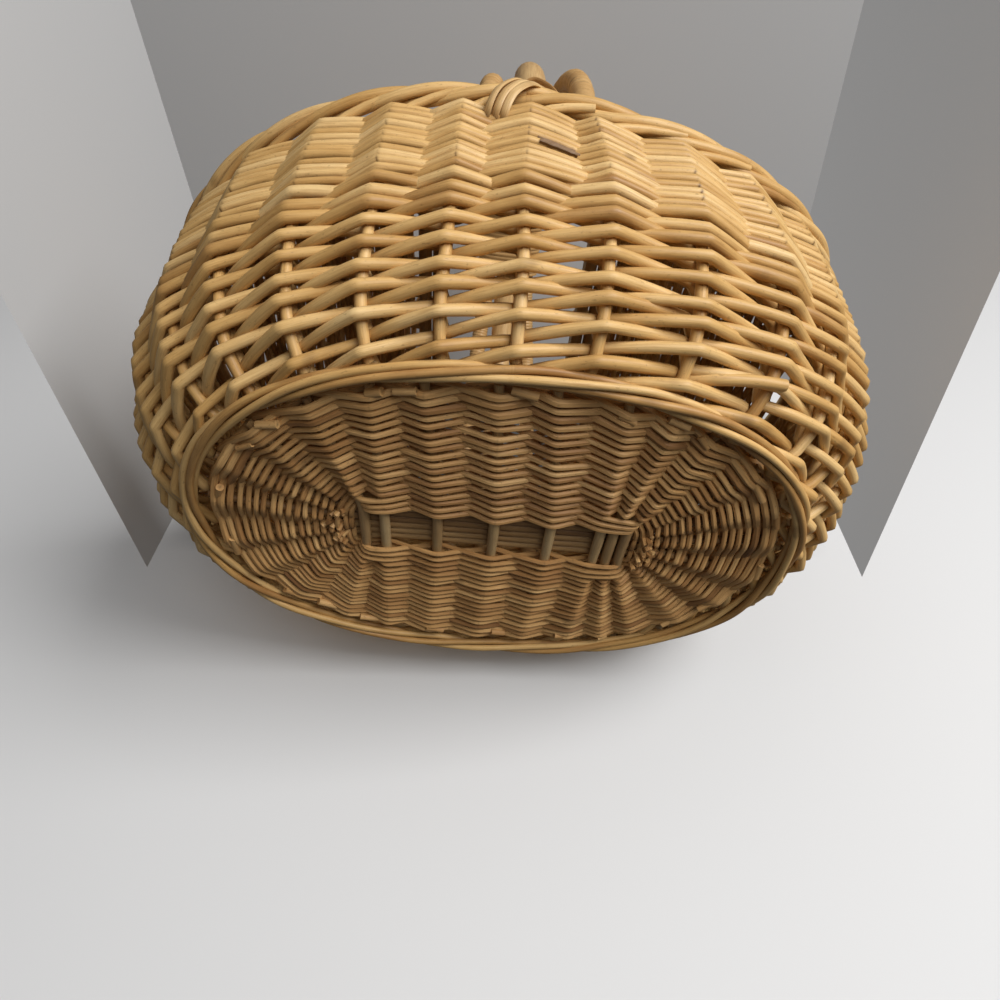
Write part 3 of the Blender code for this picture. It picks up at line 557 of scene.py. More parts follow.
# A stake comes out of the base, stands in the wall and leans out under the rim
STAKE_FOOT_HEIGHTS = (0.0092, 0.0092, 0.0094, 0.0108)
STAKE_FOOT_INWARD = (0.0100, 0.0060, 0.0030, 0.0006)
STAKE_HEIGHTS = np.linspace(0.0145, 0.1470, 22)
STAKE_TIP_HEIGHTS = np.array((0.1492, 0.1518, 0.1540, 0.1560, 0.1575))
STAKE_TIP_LEANS = np.array((0.10, 0.32, 0.58, 0.80, 1.0))
STAKE_TIP_OUT = np.array((0.0010, 0.0030, 0.0046, 0.0054, 0.0060))
STAKE_TAPER = (0.86, 1.0, 0.9, 0.78)


def make_stakes():
    stakes = Strands("wall_stakes")
    heights = np.concatenate((STAKE_FOOT_HEIGHTS, STAKE_HEIGHTS))
    inward = np.concatenate((STAKE_FOOT_INWARD, np.zeros(len(STAKE_HEIGHTS))))
    for station in range(STAKES):
        points = wall_point(np.full(len(heights), float(station)), heights, -inward)
        leans = STAKE_TIP_LEANS * rng.uniform(0.85, 1.10)
        tip_heights = STAKE_TIP_HEIGHTS + rng.normal(0, 0.0004)
        path = smoothed(np.concatenate((points, wall_point(station + leans, tip_heights, STAKE_TIP_OUT))))
        last = len(path) - 1
        radius = STAKE_RADIUS * np.interp(np.arange(len(path)), (0, 5, last - 5, last), STAKE_TAPER)
        stakes.add(path, radius, outward(station_angle(float(station))) + ACROSS * 0.001, 8)
    stakes.piece(GOLDEN, "basket", "golden_willow")


# ---- base ----

BASE_WINDOW = (0.0780, 0.0178)
BASE_EDGE = (0.1560, 0.1165)
BASE_HEIGHT = 0.0092
CORE_RISE = 0.0042
STICK_X = (-0.0715, -0.0605, -0.0315, -0.0005, 0.0305, 0.0580, 0.0652, 0.0721)
FRONT_ENDS = (-0.093, -0.063, -0.039, -0.006, 0.020, 0.053, 0.076, 0.097)
BACK_ENDS = (-0.090, -0.063, -0.036, -0.004, 0.026, 0.056, 0.078, 0.097)
CORE_Y = (-0.0130, -0.0078, -0.0026, 0.0026, 0.0078, 0.0130)
STICK_HEIGHT = 0.0086
CORE_HEIGHT = 0.0141


def edge_angle(x, side):
    """Angle at which the base's edge passes x, on its -Y side (-1) or +Y side (1)."""
    return side * np.arccos(np.sign(x) * (np.abs(x) / BASE_EDGE[0]) ** (OVAL_POWER / 2))


def base_spokes():
    """Inner point and outer angle of each of the 28 spokes, round from the -Y side's left end."""
    inner, angles = [], []
    front = [float(edge_angle(x, -1)) for x in FRONT_ENDS]
    back = [float(edge_angle(x, 1)) for x in BACK_ENDS]
    for x, angle in zip(STICK_X, front):
        inner.append((x, -BASE_WINDOW[1]))
        angles.append(angle)
    for index, y in enumerate(CORE_Y):
        inner.append((BASE_WINDOW[0], y))
        angles.append(front[-1] + (back[-1] - front[-1]) * (index + 1) / (len(CORE_Y) + 1))
    for x, angle in zip(STICK_X[::-1], back[::-1]):
        inner.append((x, BASE_WINDOW[1]))
        angles.append(angle)
    for index, y in enumerate(CORE_Y[::-1]):
        inner.append((-BASE_WINDOW[0], y))
        angles.append(back[0] + (front[0] + 2 * pi - back[0]) * (index + 1) / (len(CORE_Y) + 1))
    return np.array(inner), np.array(angles)


SPOKES_IN, SPOKE_ANGLES = base_spokes()
SPOKES = len(SPOKES_IN)
# Share of CORE_RISE that each spoke has: the core rods lie over the short sticks
SPOKE_RISE = np.array([1.0 if 8 <= index < 14 or index >= 22 else 0.0 for index in range(SPOKES + 1)])


def base_point(place, share, below, aside=0.0):
    """Point of the base at a place round its spokes, a share of the way out, and below its middle."""
    index = np.arange(SPOKES + 1)
    place = np.mod(place, SPOKES)
    share = np.asarray(share)
    ring = np.append(SPOKES_IN, SPOKES_IN[:1], axis=0)
    inner = stack(np.interp(place, index, ring[:, 0]), np.interp(place, index, ring[:, 1]), 0.0)
    angle = np.interp(place, index, np.append(SPOKE_ANGLES, SPOKE_ANGLES[0] + 2 * pi))
    x, y = oval(angle, *BASE_EDGE)
    outer = stack(x, y, 0.0)
    point = inner + (outer - inner) * share[..., None] + unit(outer - inner) * np.asarray(aside)[..., None]
    rise = CORE_RISE * np.interp(place, index, SPOKE_RISE) * np.clip(1 - share * 1.3, 0, 1) ** 2
    point[..., 2] = BASE_HEIGHT + rise - below
    return point


# The first CLOSE_ROUNDS rounds pass each of these groups of spokes, first to last, as one
CLOSE_GROUPS = ((0, 1), (2, 2), (3, 3), (4, 4), (5, 7), (8, 9), (10, 11), (12, 13),
                (14, 16), (17, 17), (18, 18), (19, 19), (20, 21), (22, 23), (24, 25), (26, 27))
BASE_ROUNDS = 18
CLOSE_ROUNDS = 3
BASE_ROD = 0.00154
SPOKE_RADIUS = 0.0026
BASE_LIFT = 0.0008
BASE_DROP = 0.0026
BASE_SHARES = (0.012, 0.945)
GROUP_EDGE = 0.07
EDGE_ENDS = 22
FAN_ENDS = 20
# The outer rounds are of thicker rods
THICK_ROUNDS = 3
THICKER = 1.32


def round_places(groups):
    """Places round the spokes for each station of a round, wider over a group of spokes."""
    stations, places = [], []
    count = len(groups)
    for number in range(2 * count + 3):
        first, last = groups[number % count]
        lap = SPOKES * (number // count)
        stations += [number - GROUP_EDGE, number + GROUP_EDGE]
        places += [first + lap - GROUP_EDGE, last + lap + GROUP_EDGE]
    return stations, places


def make_base():
    rods = Strands("base_rods")
    single = tuple((index, index) for index in range(SPOKES))
    for number, share in enumerate(np.linspace(*BASE_SHARES, BASE_ROUNDS)):
        groups = CLOSE_GROUPS if number < CLOSE_ROUNDS else single
        knots, knot_places = round_places(groups)
        count = len(groups)
        phase = rng.uniform(0, 2 * pi)
        jitter = rng.normal(0, 0.00030, count)
        crossings = rng.uniform(0.44, 0.62, count)
        tones = rng.uniform(0, 1, 2)
        for hand in (0, 1):
            first = int(rng.integers(0, count // 2)) * 2 + hand
            station, wave, slide, kinks = weave_line(
                count, first, lambda index: crossings[index % count], BASE_LIFT, -BASE_DROP)
            place = np.interp(station, knots, knot_places)
            wave = np.where(wave > 0, np.minimum(wave * 1.12, 1), wave)
            reach = SPOKE_RADIUS + BASE_ROD * 1.05
            aside = slide - BASE_DROP * 0.35 + 0.0004 * np.sin(place * 4 * pi / SPOKES + phase)
            around = np.mod(station, count)
            aside = aside + np.interp(around, np.arange(count + 1), np.append(jitter, jitter[0]))
            path = smoothed(base_point(place, np.full(len(place), share), reach * wave, aside), kinks)
            thick = THICKER if number >= BASE_ROUNDS - THICK_ROUNDS else 1.0
            radius = BASE_ROD * np.linspace(1.08, 0.92, len(path)) * thick
            marks = np.zeros(len(path))
            # Painted shade on the rod's low side at its kinks
            marks[kinks] = rng.uniform(0, 0.8, len(kinks))
            rods.add(path, radius, UP, 7, tone=tones[hand] * 0.5 + rng.uniform(0, 0.5), marks=marks)
    make_fan_ends(rods)
    make_edge_ends(rods)
    rods.piece(BROWN, "basket", "base_willow", "base_weave")


def make_edge_ends(rods):
    """Cut ends of rods that stand out just inside the foot ring."""
    for number in range(EDGE_ENDS):
        place = SPOKES * (number + rng.uniform(0.1, 0.9)) / EDGE_ENDS
        share = rng.uniform(0.90, 0.985)
        start = base_point(place, share, 0.0030)
        end = base_point(place + rng.uniform(0.28, 0.5), share + rng.uniform(-0.05, 0.02), 0.0046)
        points = start + (end - start) * np.linspace(0, 1, 4)[:, None]
        rods.add(points, rng.uniform(0.0017, 0.0024), UP, 8, tone=rng.uniform(0.5, 1))


def make_fan_ends(rods):
    """Short cut ends of the rods that start at both ends of the window."""
    for side in (-1, 1):
        for number in range(FAN_ENDS):
            angle = rng.uniform(-1.35, 1.35)
            reach = rng.uniform(0.002, 0.012)
            start_x = BASE_WINDOW[0] + 0.0005 + reach * np.cos(angle)
            start = np.array((side * start_x, 0.01495 * np.sin(angle), 0.0105))
            lean = np.array((side * rng.uniform(0.1, 0.9), rng.uniform(-0.7, 0.7), -rng.uniform(0.55, 1.0)))
            length = rng.uniform(0.0050, 0.0078)
            points = start + unit(lean) * np.linspace(0, length, 4)[:, None]
            rods.add(points, rng.uniform(0.0012, 0.0017), ACROSS + UP * 0.01, 7)


CROSS_RADII = (0.0024, 0.0029, 0.0030, 0.0029, 0.0024)
CORE_RADII = (0.0022, 0.0026, 0.0026, 0.0022)


def make_sticks():
    sticks = Strands("base_sticks")
    for index, x in enumerate(STICK_X):
        front = base_point(np.full(6, float(index)), np.linspace(0.985, 0.06, 6), 0.0)
        behind = base_point(np.full(6, float(21 - index)), np.linspace(0.06, 0.985, 6), 0.0)
        bare = stack(x, np.linspace(-0.019, 0.019, 5), STICK_HEIGHT)
        path = smoothed(np.concatenate((front, bare, behind)))
        radius = np.interp(np.linspace(0, 1, len(path)), (0, 0.4, 0.5, 0.6, 1), CROSS_RADII)
        sticks.add(path, radius, UP, 12, uneven=0.03)
    nodes = [f"cross_stick_{index + 1}" for index in range(len(STICK_X))]
    sticks.piece(STICK, "basket", "peeled_stick", *nodes)
    core = Strands("base_core_rods")
    for index, y in enumerate(CORE_Y):
        right = base_point(np.full(6, 8.0 + index), np.linspace(0.10, 0.985, 6), 0.0)
        left = base_point(np.full(6, 27.0 - index), np.linspace(0.985, 0.10, 6), 0.0)
        bare = stack(np.linspace(-0.0740, 0.0740, 9), y, CORE_HEIGHT)
        path = smoothed(np.concatenate((left, bare, right)))
        radius = np.interp(np.linspace(0, 1, len(path)), (0, 0.3, 0.7, 1), CORE_RADII)
        core.add(path, radius, UP, 12, uneven=0.03)
    nodes = [f"core_rod_{index + 1}" for index in range(len(CORE_Y))]
    core.piece(SLAT, "basket", "peeled_stick", *nodes)


FOOT_STRANDS = 4
FOOT_STRAND_RADIUS = 0.0020
FOOT_STRAND_REACH = 0.0029
FOOT_HEIGHT = 0.0050
FOOT_TURNS = 4


def make_foot():
    foot = Strands("foot_rods")
    count = 360
    share = np.arange(count) / count
    angle = station_angle(STAKES * share)
    x, y = oval(angle, *FOOT_HALF)
    for strand in range(FOOT_STRANDS):
        phase = 2 * pi * (FOOT_TURNS * share + strand / FOOT_STRANDS)
        phase = phase + 0.25 * np.sin(2 * pi * 9 * share + strand)
        up, out = FOOT_STRAND_REACH * np.sin(phase), FOOT_STRAND_REACH * np.cos(phase)
        path = stack(x, y, FOOT_HEIGHT + up) + outward(angle) * out[:, None]
        foot.add(path, FOOT_STRAND_RADIUS, UP, 8, closed=True, uneven=0.04)
    foot.piece(GOLDEN, "basket", "golden_willow", "foot_border")


# ---- rim ----

def make_rim():
    rim = Strands("rim_rods")
    count = STAKES * 12
    stations = STAKES * np.arange(count) / count
    angle = station_angle(stations)
    x, y = oval(angle, *wall_half(WALL_TOP))
    out = outward(angle)
    for rod in range(3):
        phase = 2 * pi * (stations / 3 + rod / 3) + 0.3 * np.sin(2 * pi * stations / 6 + rod)
        path = stack(x, y, RIM_HEIGHT - RIM_TWIST * np.cos(phase) - top_dip(stations))
        path = path + out * (RIM_STAND_OFF + RIM_TWIST * np.sin(phase))[:, None]
        rim.add(path, RIM_ROD, UP, 10, closed=True, uneven=0.06)
    rim.piece(GOLDEN, "basket", "golden_willow", "rim_rod_1", "rim_rod_2", "rim_rod_3")


# ---- handle ----

CENTRE_BOW = 0.0092
SIDE_BOW = 0.00675
# Each bow: its radius, its x at the rim, and how far its foot stands in from the wall's top
BOWS = {
    "centre_bow": (CENTRE_BOW, 0.0, 0.0015),
    "left_bow": (SIDE_BOW, -0.0235, 0.0100),
    "right_bow": (SIDE_BOW, 0.0295, 0.0015),
}
BOW_HEIGHT = 0.195
BOW_POWER = 2.4
GRIP_HALF = 0.056
BOW_TOP_OFFSET = CENTRE_BOW + 0.0003 + SIDE_BOW
# Turns of skein: their pitch, how far the grip's lie out, points to a turn, and the painted shade in the
# crease between two
BOW_PITCH = 0.0026
GRIP_PITCH = 0.0036
GRIP_COVER = 0.0032
TURN_POINTS = 5
CREASE_SHADE = 0.8


def half_width_at(x, half_length, half_width):
    return half_width * (1 - np.abs(x / half_length) ** OVAL_POWER) ** (1 / OVAL_POWER)


def bow_half_span(name):
    radius, x, inset = BOWS[name]
    return half_width_at(x, *wall_half(WALL_TOP)) - inset - radius


def bow_arch(name):
    """Fine line of a bow from its front foot to its back one, and how far along each point lies."""
    x = BOWS[name][1]
    span = bow_half_span(name)
    hand = np.sign(x)
    gathered = np.sin(np.arccos((GRIP_HALF / span) ** (BOW_POWER / 2)))
    angle = np.linspace(0, pi, 400)
    height = BOW_HEIGHT * np.abs(np.sin(angle)) ** (2 / BOW_POWER)
    y = -span * np.sign(np.cos(angle)) * np.abs(np.cos(angle)) ** (2 / BOW_POWER)
    drawn = np.minimum(np.sin(angle) / gathered, 1) ** 3
    arch = stack(x + (hand * BOW_TOP_OFFSET - x) * drawn, y, WALL_TOP + height)
    foot = np.array((x + 0.0075 * hand, -span - 0.001, WALL_TOP - 0.062))
    line = np.concatenate((foot[None], arch, (foot * (1, -1, 1))[None]))
    return line, np.concatenate(([0], np.cumsum(np.linalg.norm(np.diff(line, axis=0), axis=1))))


def bow_line(name, count):
    """Evenly spaced points of a bow."""
    line, travel = bow_arch(name)
    wanted = np.linspace(0, travel[-1], count)
    return np.stack([np.interp(wanted, travel, line[:, axis]) for axis in range(3)], axis=-1)


def wound(strands, line, half_across, half_up, pitch, sides, power=2.0, depth=0.0007):
    """Skin of a rod covered in turns of skein, one bump to each turn, with painted shade in the crease
    between two turns.
    """
    tangent = unit(np.gradient(line, axis=0))
    normal = unit(np.cross(ACROSS, tangent))
    side = unit(np.cross(tangent, normal))
    travel = np.concatenate(([0], np.cumsum(np.linalg.norm(np.diff(line, axis=0), axis=1))))
    turn = 2 * pi * np.arange(sides) / sides
    cycle = travel[:, None] / pitch - turn[None] / (2 * pi)
    turn_number = np.floor(cycle)
    share = cycle - turn_number
    bump = np.sqrt(np.clip(1 - (2 * share - 1) ** 2, 0, 1))
    vary = np.sin(turn_number * 12.9898 + 4.1) * 43758.5453
    vary = vary - np.floor(vary)
    lift = depth * (bump - 1) + 0.0004 * (vary - 0.5)
    cos, sin = np.cos(turn), np.sin(turn)
    shape_across = np.sign(cos) * np.abs(cos) ** (2 / power)
    shape_up = np.sign(sin) * np.abs(sin) ** (2 / power)
    grid = (
        line[:, None] + side[:, None] * ((half_across + lift) * shape_across[None])[..., None]
        + normal[:, None] * ((half_up + lift) * shape_up[None])[..., None]
    )
    coordinate = np.stack(np.broadcast_arrays(
        turn[None] * half_up + turn_number * 0.37, cycle * pitch, vary * 3.0), axis=-1)
    # Painted shade in the crease between two turns
    strands.skin(grid, coordinate, (1 - bump) * CREASE_SHADE)


def make_handle():
    smooth_bow = Strands("smooth_bow")
    smooth_bow.add(bow_line("centre_bow", 90), CENTRE_BOW, ACROSS, 20, uneven=0.006)
    smooth_bow.piece(BOW, "basket", "bow_wood", "centre_bow")
    for name in ("left_bow", "right_bow"):
        bow = Strands(f"{name}_skein")
        length = bow_arch(name)[1][-1]
        line = bow_line(name, int(length / BOW_PITCH * TURN_POINTS))
        wound(bow, line, SIDE_BOW, SIDE_BOW, BOW_PITCH, 16)
        bow.piece(SKEIN, "basket", "willow_skein", name)
    grip = Strands("grip_skein")
    y = np.linspace(-GRIP_HALF, GRIP_HALF, int(2 * GRIP_HALF / GRIP_PITCH * TURN_POINTS))
    share = np.abs(y) / bow_half_span("centre_bow")
    line = stack(0.0, y, WALL_TOP + BOW_HEIGHT * (1 - share ** BOW_POWER) ** (1 / BOW_POWER))
    half_across = BOW_TOP_OFFSET + SIDE_BOW + GRIP_COVER
    wound(grip, line, half_across, CENTRE_BOW + GRIP_COVER, GRIP_PITCH, 40, 3.0, 0.0006)
    grip.piece(SKEIN, "basket", "willow_skein", "grip_binding")


# ---- lashings ----

SKEIN_RADIUS = 0.0023
# Once round the rim, the weave's upper rows and the bow: x, y and z of the front's middle strand
LASHING_LOOP = (
    (-0.0185, -0.1590, 0.1415), (-0.0175, -0.1705, 0.1400), (-0.0140, -0.1762, 0.1475),
    (-0.0085, -0.1772, 0.1560), (-0.0035, -0.1755, 0.1620), (0.0015, -0.1705, 0.1655),
    (0.0062, -0.1630, 0.1650), (0.0108, -0.1570, 0.1600), (0.0100, -0.1475, 0.1560),
    (0.0000, -0.1432, 0.1530), (-0.0110, -0.1475, 0.1490), (-0.0160, -0.1530, 0.1450),
)
LASHING_STEP = np.array((0.0040, 0.0, -0.0012))
# Once round the bow, up over its front and down behind the rim
TIE_LOOP = (
    (-0.0105, -0.1600, 0.1690), (-0.0065, -0.1655, 0.1785), (0.0000, -0.1676, 0.1845),
    (0.0075, -0.1662, 0.1835), (0.0135, -0.1635, 0.1790), (0.0185, -0.1595, 0.1710),
    (0.0195, -0.1550, 0.1635), (0.0130, -0.1480, 0.1595), (0.0000, -0.1436, 0.1590),
    (-0.0105, -0.1470, 0.1600), (-0.0128, -0.1540, 0.1630),
)


def closed_curve(points, per_point=8):
    """Smooth closed line through points."""
    points = np.asarray(points, float)
    before, after, beyond = np.roll(points, 1, 0), np.roll(points, -1, 0), np.roll(points, -2, 0)
    share = (np.arange(per_point) / per_point)[None, :, None]
    p0, p1, p2, p3 = (p[:, None] for p in (before, points, after, beyond))
    curve = 0.5 * (2 * p1 + (p2 - p0) * share + (2 * p0 - 5 * p1 + 4 * p2 - p3) * share ** 2
                   + (3 * p1 - p0 - 3 * p2 + p3) * share ** 3)
    return curve.reshape(-1, 3)


def make_lashings():
    strands = Strands("lashing_skein")
    middle = np.array((-0.005, -(bow_half_span("centre_bow") + 0.1700) / 2, 0.1550))
    for turn_about in (1, -1):
        about = np.array((turn_about, turn_about, 1))
        for number in (-1, 0, 1):
            path = closed_curve(LASHING_LOOP) + LASHING_STEP * number
            strands.add(path * about, SKEIN_RADIUS, (path - middle) * about, 10, flat=0.45, closed=True)
        path = closed_curve(TIE_LOOP)
        away = path - path.mean(axis=0)
        strands.add(path * about, SKEIN_RADIUS * 0.95, away * about, 10, flat=0.5, closed=True)
    strands.piece(SKEIN, "basket", "willow_skein", "front_lashing", "front_tie", "back_lashing", "back_tie")


# ---- lids ----

HINGE_HEIGHT = WALL_TOP + 0.0003 + 0.0042
LID_HALF = tuple(size - 0.0065 for size in wall_half(WALL_TOP))
LID_INNER = tuple(size - 0.0040 for size in LID_HALF)
LID_START = 0.0600
LID_SPINE = 0.0532
LID_FRAME_ROD = 0.0040
LID_RIB_Y = np.linspace(-0.122, 0.122, 11)
LID_ROD = 0.00190
LID_RIB = 0.00180
LID_PITCH = 0.00335
LID_CROWN = 0.0022
LID_WAVE = (LID_RIB + LID_ROD) * 0.55
LID_SHARES = (0, 0.12, 0.32, 0.5, 0.68, 0.88)


def lid_crown(x, y):
    """How far a lid's panel rises over its frame."""
    across = np.clip((x - LID_START) / (LID_INNER[0] - LID_START), 0, 1)
    return LID_CROWN * 4 * across * (1 - across) * (1 - (y / LID_INNER[1]) ** 2)


def rib_place(y, x):
    """Where a rib that starts at y lies at x, as the ribs draw together outward."""
    return y * (1 - 0.10 * np.clip((x - 0.06) / 0.14, 0, 1) ** 2)


def lid_row(row):
    """Where a row of a lid's panel passes its ribs, and how far over or under them."""
    x_row = LID_START + 0.0015 + LID_PITCH * row
    limit = half_width_at(x_row, *LID_INNER) + 0.0005
    ribs = [rib_place(y, x_row) for y in LID_RIB_Y]
    stops = [-limit] + [y for y in ribs if abs(y) < limit - 0.006] + [limit]
    first = int(np.argmin(np.abs(LID_RIB_Y - stops[1]))) if len(stops) > 2 else 0
    y_path, wave = [], []
    for number, (low, high) in enumerate(zip(stops, stops[1:])):
        sign = 1 if (first + number + row) % 2 else -1
        start_wave = 0.0 if number == 0 else sign
        end_wave = 0.0 if 0 < number == len(stops) - 2 else -sign
        for share in LID_SHARES:
            y_path.append(low + (high - low) * share)
            wave.append(start_wave + (end_wave - start_wave) * (share * share * (3 - 2 * share)))
    return x_row, np.array(y_path + [limit]), np.array(wave + [0.0])


def make_lid(hand, side):
    weave = Strands(f"{hand}_lid_rods")
    for y in LID_RIB_Y:
        reach = LID_INNER[0] * (1 - abs(y / LID_INNER[1]) ** OVAL_POWER) ** (1 / OVAL_POWER)
        x = np.linspace(0.0545, reach + 0.0010, 14)
        bow = rib_place(y, x)
        path = stack(side * x, bow, HINGE_HEIGHT + lid_crown(x, bow))
        weave.add(path, LID_RIB * np.linspace(1.1, 0.9, len(x)), UP, 8)
    for row in range(int((LID_INNER[0] - LID_START - 0.006) / LID_PITCH)):
        x_row, y_path, wave = lid_row(row)
        x_path = x_row + 0.0004 * np.sin(y_path * 60 + row) + rng.normal(0, 0.00012)
        z = HINGE_HEIGHT + lid_crown(x_path, y_path) + wave * LID_WAVE
        weave.add(smoothed(stack(side * x_path, y_path, z)), LID_ROD * rng.uniform(0.94, 1.12), UP, 7)
    weave.piece(GOLDEN, f"{hand}_lid", "golden_willow", f"{hand}_lid_panel")

    frame_rods = Strands(f"{hand}_lid_frame_rods")
    angle_limit = np.arccos((LID_START / LID_HALF[0]) ** (OVAL_POWER / 2))
    x, y = oval(np.linspace(-angle_limit, angle_limit, 120), *LID_HALF)
    frame_rods.add(stack(side * x, y, HINGE_HEIGHT), LID_FRAME_ROD, UP, 14, uneven=0.012)
    reach = half_width_at(LID_START, *LID_HALF) + 0.0030
    spine = stack(side * LID_SPINE, np.linspace(-reach, reach, 40), HINGE_HEIGHT)
    frame_rods.add(spine, LID_FRAME_ROD, UP, 14, uneven=0.012)
    frame_rods.piece(STICK, f"{hand}_lid", "peeled_stick", f"{hand}_lid_frame", f"{hand}_lid_spine")


def dress_nodes():
    """CAD nodes that keep their shape get the finer materials."""
    stick = willow("peeled_sticks_solid", STICK_COLOURS, from_object=True)
    skein = willow("willow_skein_solid", SKEIN_COLOURS, 0.42, from_object=True)
    for name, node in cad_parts.items():
        if node.hide_render:
            continue
        for slot in node.material_slots:
            slot.material = skein if "loop" in name else stick


# ---- stage ----

def plane(name, centre, normal, up, half_sizes, material):
    normal, up = Vector(normal).normalized(), Vector(up)
    up = (up - normal * up.dot(normal)).normalized()
    across = up.cross(normal)
    half_across, half_up = half_sizes
    corners = [Vector(centre) + across * a * half_across + up * b * half_up
               for a, b in ((-1, -1), (1, -1), (1, 1), (-1, 1))]
    mesh = bpy.data.meshes.new(name)
    mesh.from_pydata(corners, [], [(0, 1, 2, 3)])
    if mesh.polygons[0].normal.dot(normal) < 0:
        mesh.flip_normals()
    mesh.materials.append(material)
    obj = linked(name, mesh)
    obj.visible_shadow = False
    obj.visible_diffuse = False
    obj.visible_glossy = False


# The stage's upright ground has a painted shade behind the basket's top: above these heights, within these x
SHADE_HEIGHTS = (0.12, 0.19)
SHADE_SIDES = (0.285, 0.25)


def stage_material(name, colour, glow=0.0, shade=None):
    """Pale surface that is only there from its front. shade is the colour of a painted shade behind the
    basket's top.
    """
    material = bpy.data.materials.new(name)
    material.use_nodes = True
    nodes, links = material.node_tree.nodes, material.node_tree.links
    shader = nodes["Principled BSDF"]
    shader.inputs["Base Color"].default_value = (*colour, 1)
    shader.inputs["Roughness"].default_value = 0.9
    shader.inputs["Specular IOR Level"].default_value = 0.1
    shader.inputs["Emission Color"].default_value = (glow, glow, glow, 1)
    shader.inputs["Emission Strength"].default_value = 1.0
    geometry = nodes.new("ShaderNodeNewGeometry")
    # Painted shade: the colour darkens by position behind the basket's top
    if shade:
        place = nodes.new("ShaderNodeSeparateXYZ")
        links.new(geometry.outputs["Position"], place.inputs[0])
        side, both = nodes.new("ShaderNodeMath"), nodes.new("ShaderNodeMath")
        side.operation, both.operation = "ABSOLUTE", "MULTIPLY"
        links.new(place.outputs["X"], side.inputs[0])
        for socket, output, limits in ((both.inputs[0], place.outputs["Z"], SHADE_HEIGHTS),
                                       (both.inputs[1], side.outputs[0], SHADE_SIDES)):
            share = nodes.new("ShaderNodeMapRange")
            share.inputs["From Min"].default_value, share.inputs["From Max"].default_value = limits
            links.new(output, share.inputs["Value"])
            links.new(share.outputs["Result"], socket)
        blend = nodes.new("ShaderNodeMix")
        blend.data_type = "RGBA"
        blend.inputs[6].default_value = (*colour, 1)
        blend.inputs[7].default_value = (*shade, 1)
        links.new(both.outputs[0], blend.inputs[0])
        links.new(blend.outputs[2], shader.inputs["Base Color"])
    mix = nodes.new("ShaderNodeMixShader")
    links.new(geometry.outputs["Backfacing"], mix.inputs[0])
    links.new(shader.outputs[0], mix.inputs[1])
    links.new(nodes.new("ShaderNodeBsdfTransparent").outputs[0], mix.inputs[2])
    links.new(mix.outputs[0], nodes["Material Output"].inputs["Surface"])
    return material


# The photographed basket lies on its back side, so its ground is upright here, with a folded screen
PHOTO_UP = Vector((-0.118, -0.982, 0.149)).normalized()
GROUND_REACH = 0.166
GROUND_HALF = 1.1
SCREEN_BACK = 0.42
SCREEN_HALF_HEIGHT = 0.24
WING_HALF_LENGTH = 0.146
# Each wing of the screen: its place across, how far it opens, its tone and its glow
WINGS = {"left": (-0.309, 0.0, 0.58, 0.0), "right": (0.272, 0.039, 0.30, 0.13)}


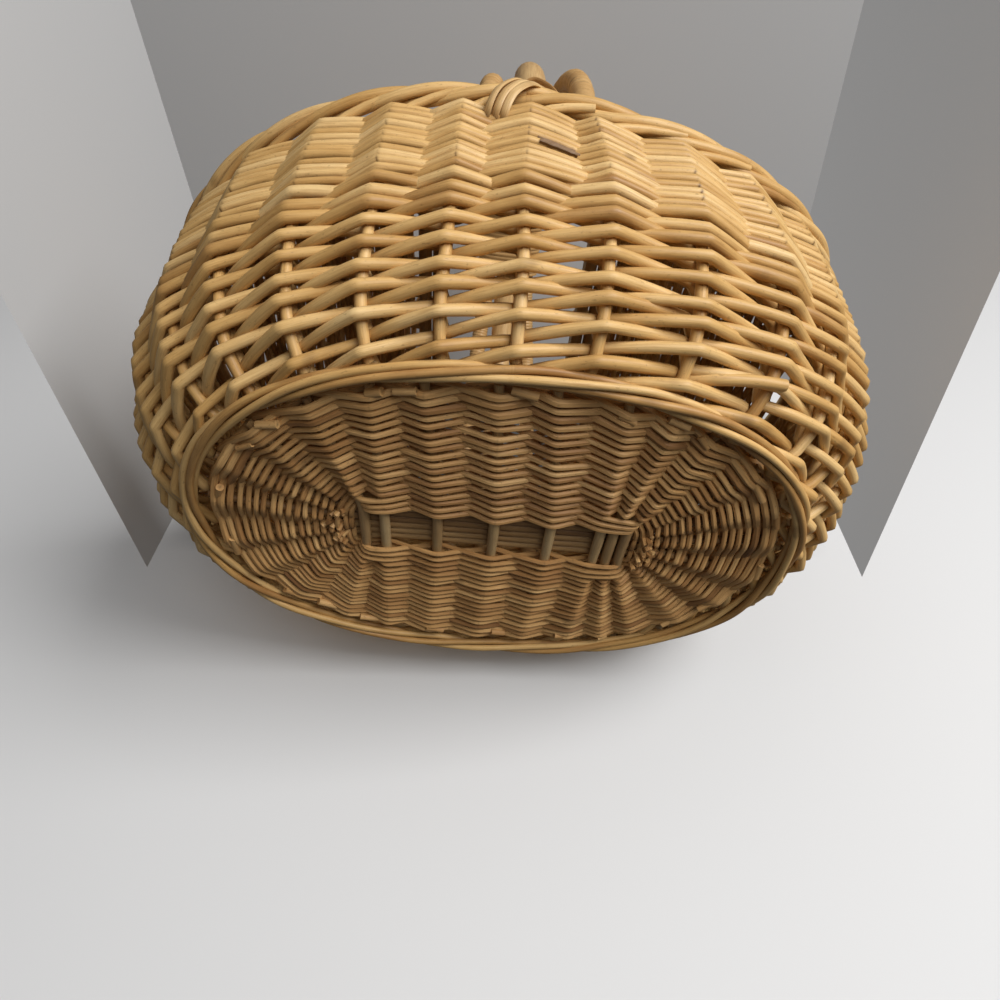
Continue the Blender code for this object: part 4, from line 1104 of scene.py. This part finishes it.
def make_stage():
    floor = stage_material("pale_floor", (0.80, 0.80, 0.79))
    plane("floor", (0, 0, 0), (0, 0, 1), (0, 1, 0), (3, 3), floor)
    # The ground gets a painted shade behind the basket's top
    ground = stage_material("pale_ground", (0.71, 0.705, 0.70), shade=(0.10, 0.10, 0.095))
    toward_back = Vector((0, 0, 1))
    toward_back = (toward_back - PHOTO_UP * toward_back.dot(PHOTO_UP)).normalized()
    across = toward_back.cross(PHOTO_UP)
    if across.x < 0:
        across = -across
    centre = -PHOTO_UP * GROUND_REACH
    plane("ground", centre, PHOTO_UP, toward_back, (GROUND_HALF, GROUND_HALF), ground)
    far = centre + toward_back * SCREEN_BACK + PHOTO_UP * SCREEN_HALF_HEIGHT
    left, right = WINGS["left"][0], WINGS["right"][0]
    plane("screen_back", far + across * (left + right) / 2, -toward_back, PHOTO_UP,
          ((right - left) / 2, SCREEN_HALF_HEIGHT), stage_material("pale_screen", (0.53, 0.525, 0.52)))
    for name, (place, slant, tone, glow) in WINGS.items():
        open_way = (across * slant - toward_back).normalized()
        inward = PHOTO_UP.cross(open_way)
        if inward.dot(across) * place > 0:
            inward = -inward
        middle = far + across * place + open_way * WING_HALF_LENGTH
        plane(f"screen_{name}", middle, inward, PHOTO_UP, (WING_HALF_LENGTH, SCREEN_HALF_HEIGHT),
              stage_material(f"pale_screen_{name}", (tone, tone * 0.99, tone * 0.98), glow))


# Each lamp: place, height of the point on the basket's axis that it faces, size, watts, seen in gloss
LIGHTS = {
    "main_light": ((1.15, -1.85, -0.05), 0.08, 1.2, 51, True),
    "low_fill": ((0.5, -1.9, -0.95), 0.03, 0.8, 10, True),
    "left_fill": ((-0.8, -2.1, 0.3), 0.08, 2.0, 6, True),
    "back_fill": ((-0.8, 1.6, 1.6), 0.12, 1.4, 34, False),
}


def make_lights():
    for name, (place, target_height, size, watts, shine) in LIGHTS.items():
        data = bpy.data.lights.new(name, "AREA")
        data.shape = "SQUARE"
        data.size = size
        data.energy = watts
        lamp = linked(name, data)
        lamp.location = place
        direction = Vector((0, 0, target_height)) - Vector(place)
        lamp.rotation_euler = direction.to_track_quat("-Z", "Y").to_euler()
        lamp.visible_glossy = shine
    world = bpy.data.worlds.new("world")
    bpy.context.scene.world = world
    world.use_nodes = True
    background = world.node_tree.nodes["Background"]
    background.inputs["Color"].default_value = (0.92, 0.95, 1.0, 1)
    background.inputs["Strength"].default_value = 0.10


def make_camera():
    data = bpy.data.cameras.new("camera")
    data.lens = CAMERA_LENS
    data.clip_start = 0.01
    camera = linked("camera", data)
    forward = CAMERA_FORWARD.normalized()
    up = (CAMERA_UP - forward * CAMERA_UP.dot(forward)).normalized()
    right = forward.cross(up)
    turn = Matrix((right, up, -forward)).transposed().to_4x4()
    camera.matrix_world = Matrix.Translation(CAMERA_PLACE) @ turn
    bpy.context.scene.camera = camera


make_wall()
make_stakes()
make_base()
make_sticks()
make_foot()
make_rim()
make_handle()
make_lashings()
make_lid("left", -1)
make_lid("right", 1)
dress_nodes()
make_stage()
make_lights()
make_camera()
bpy.context.scene.view_settings.view_transform = "Standard"
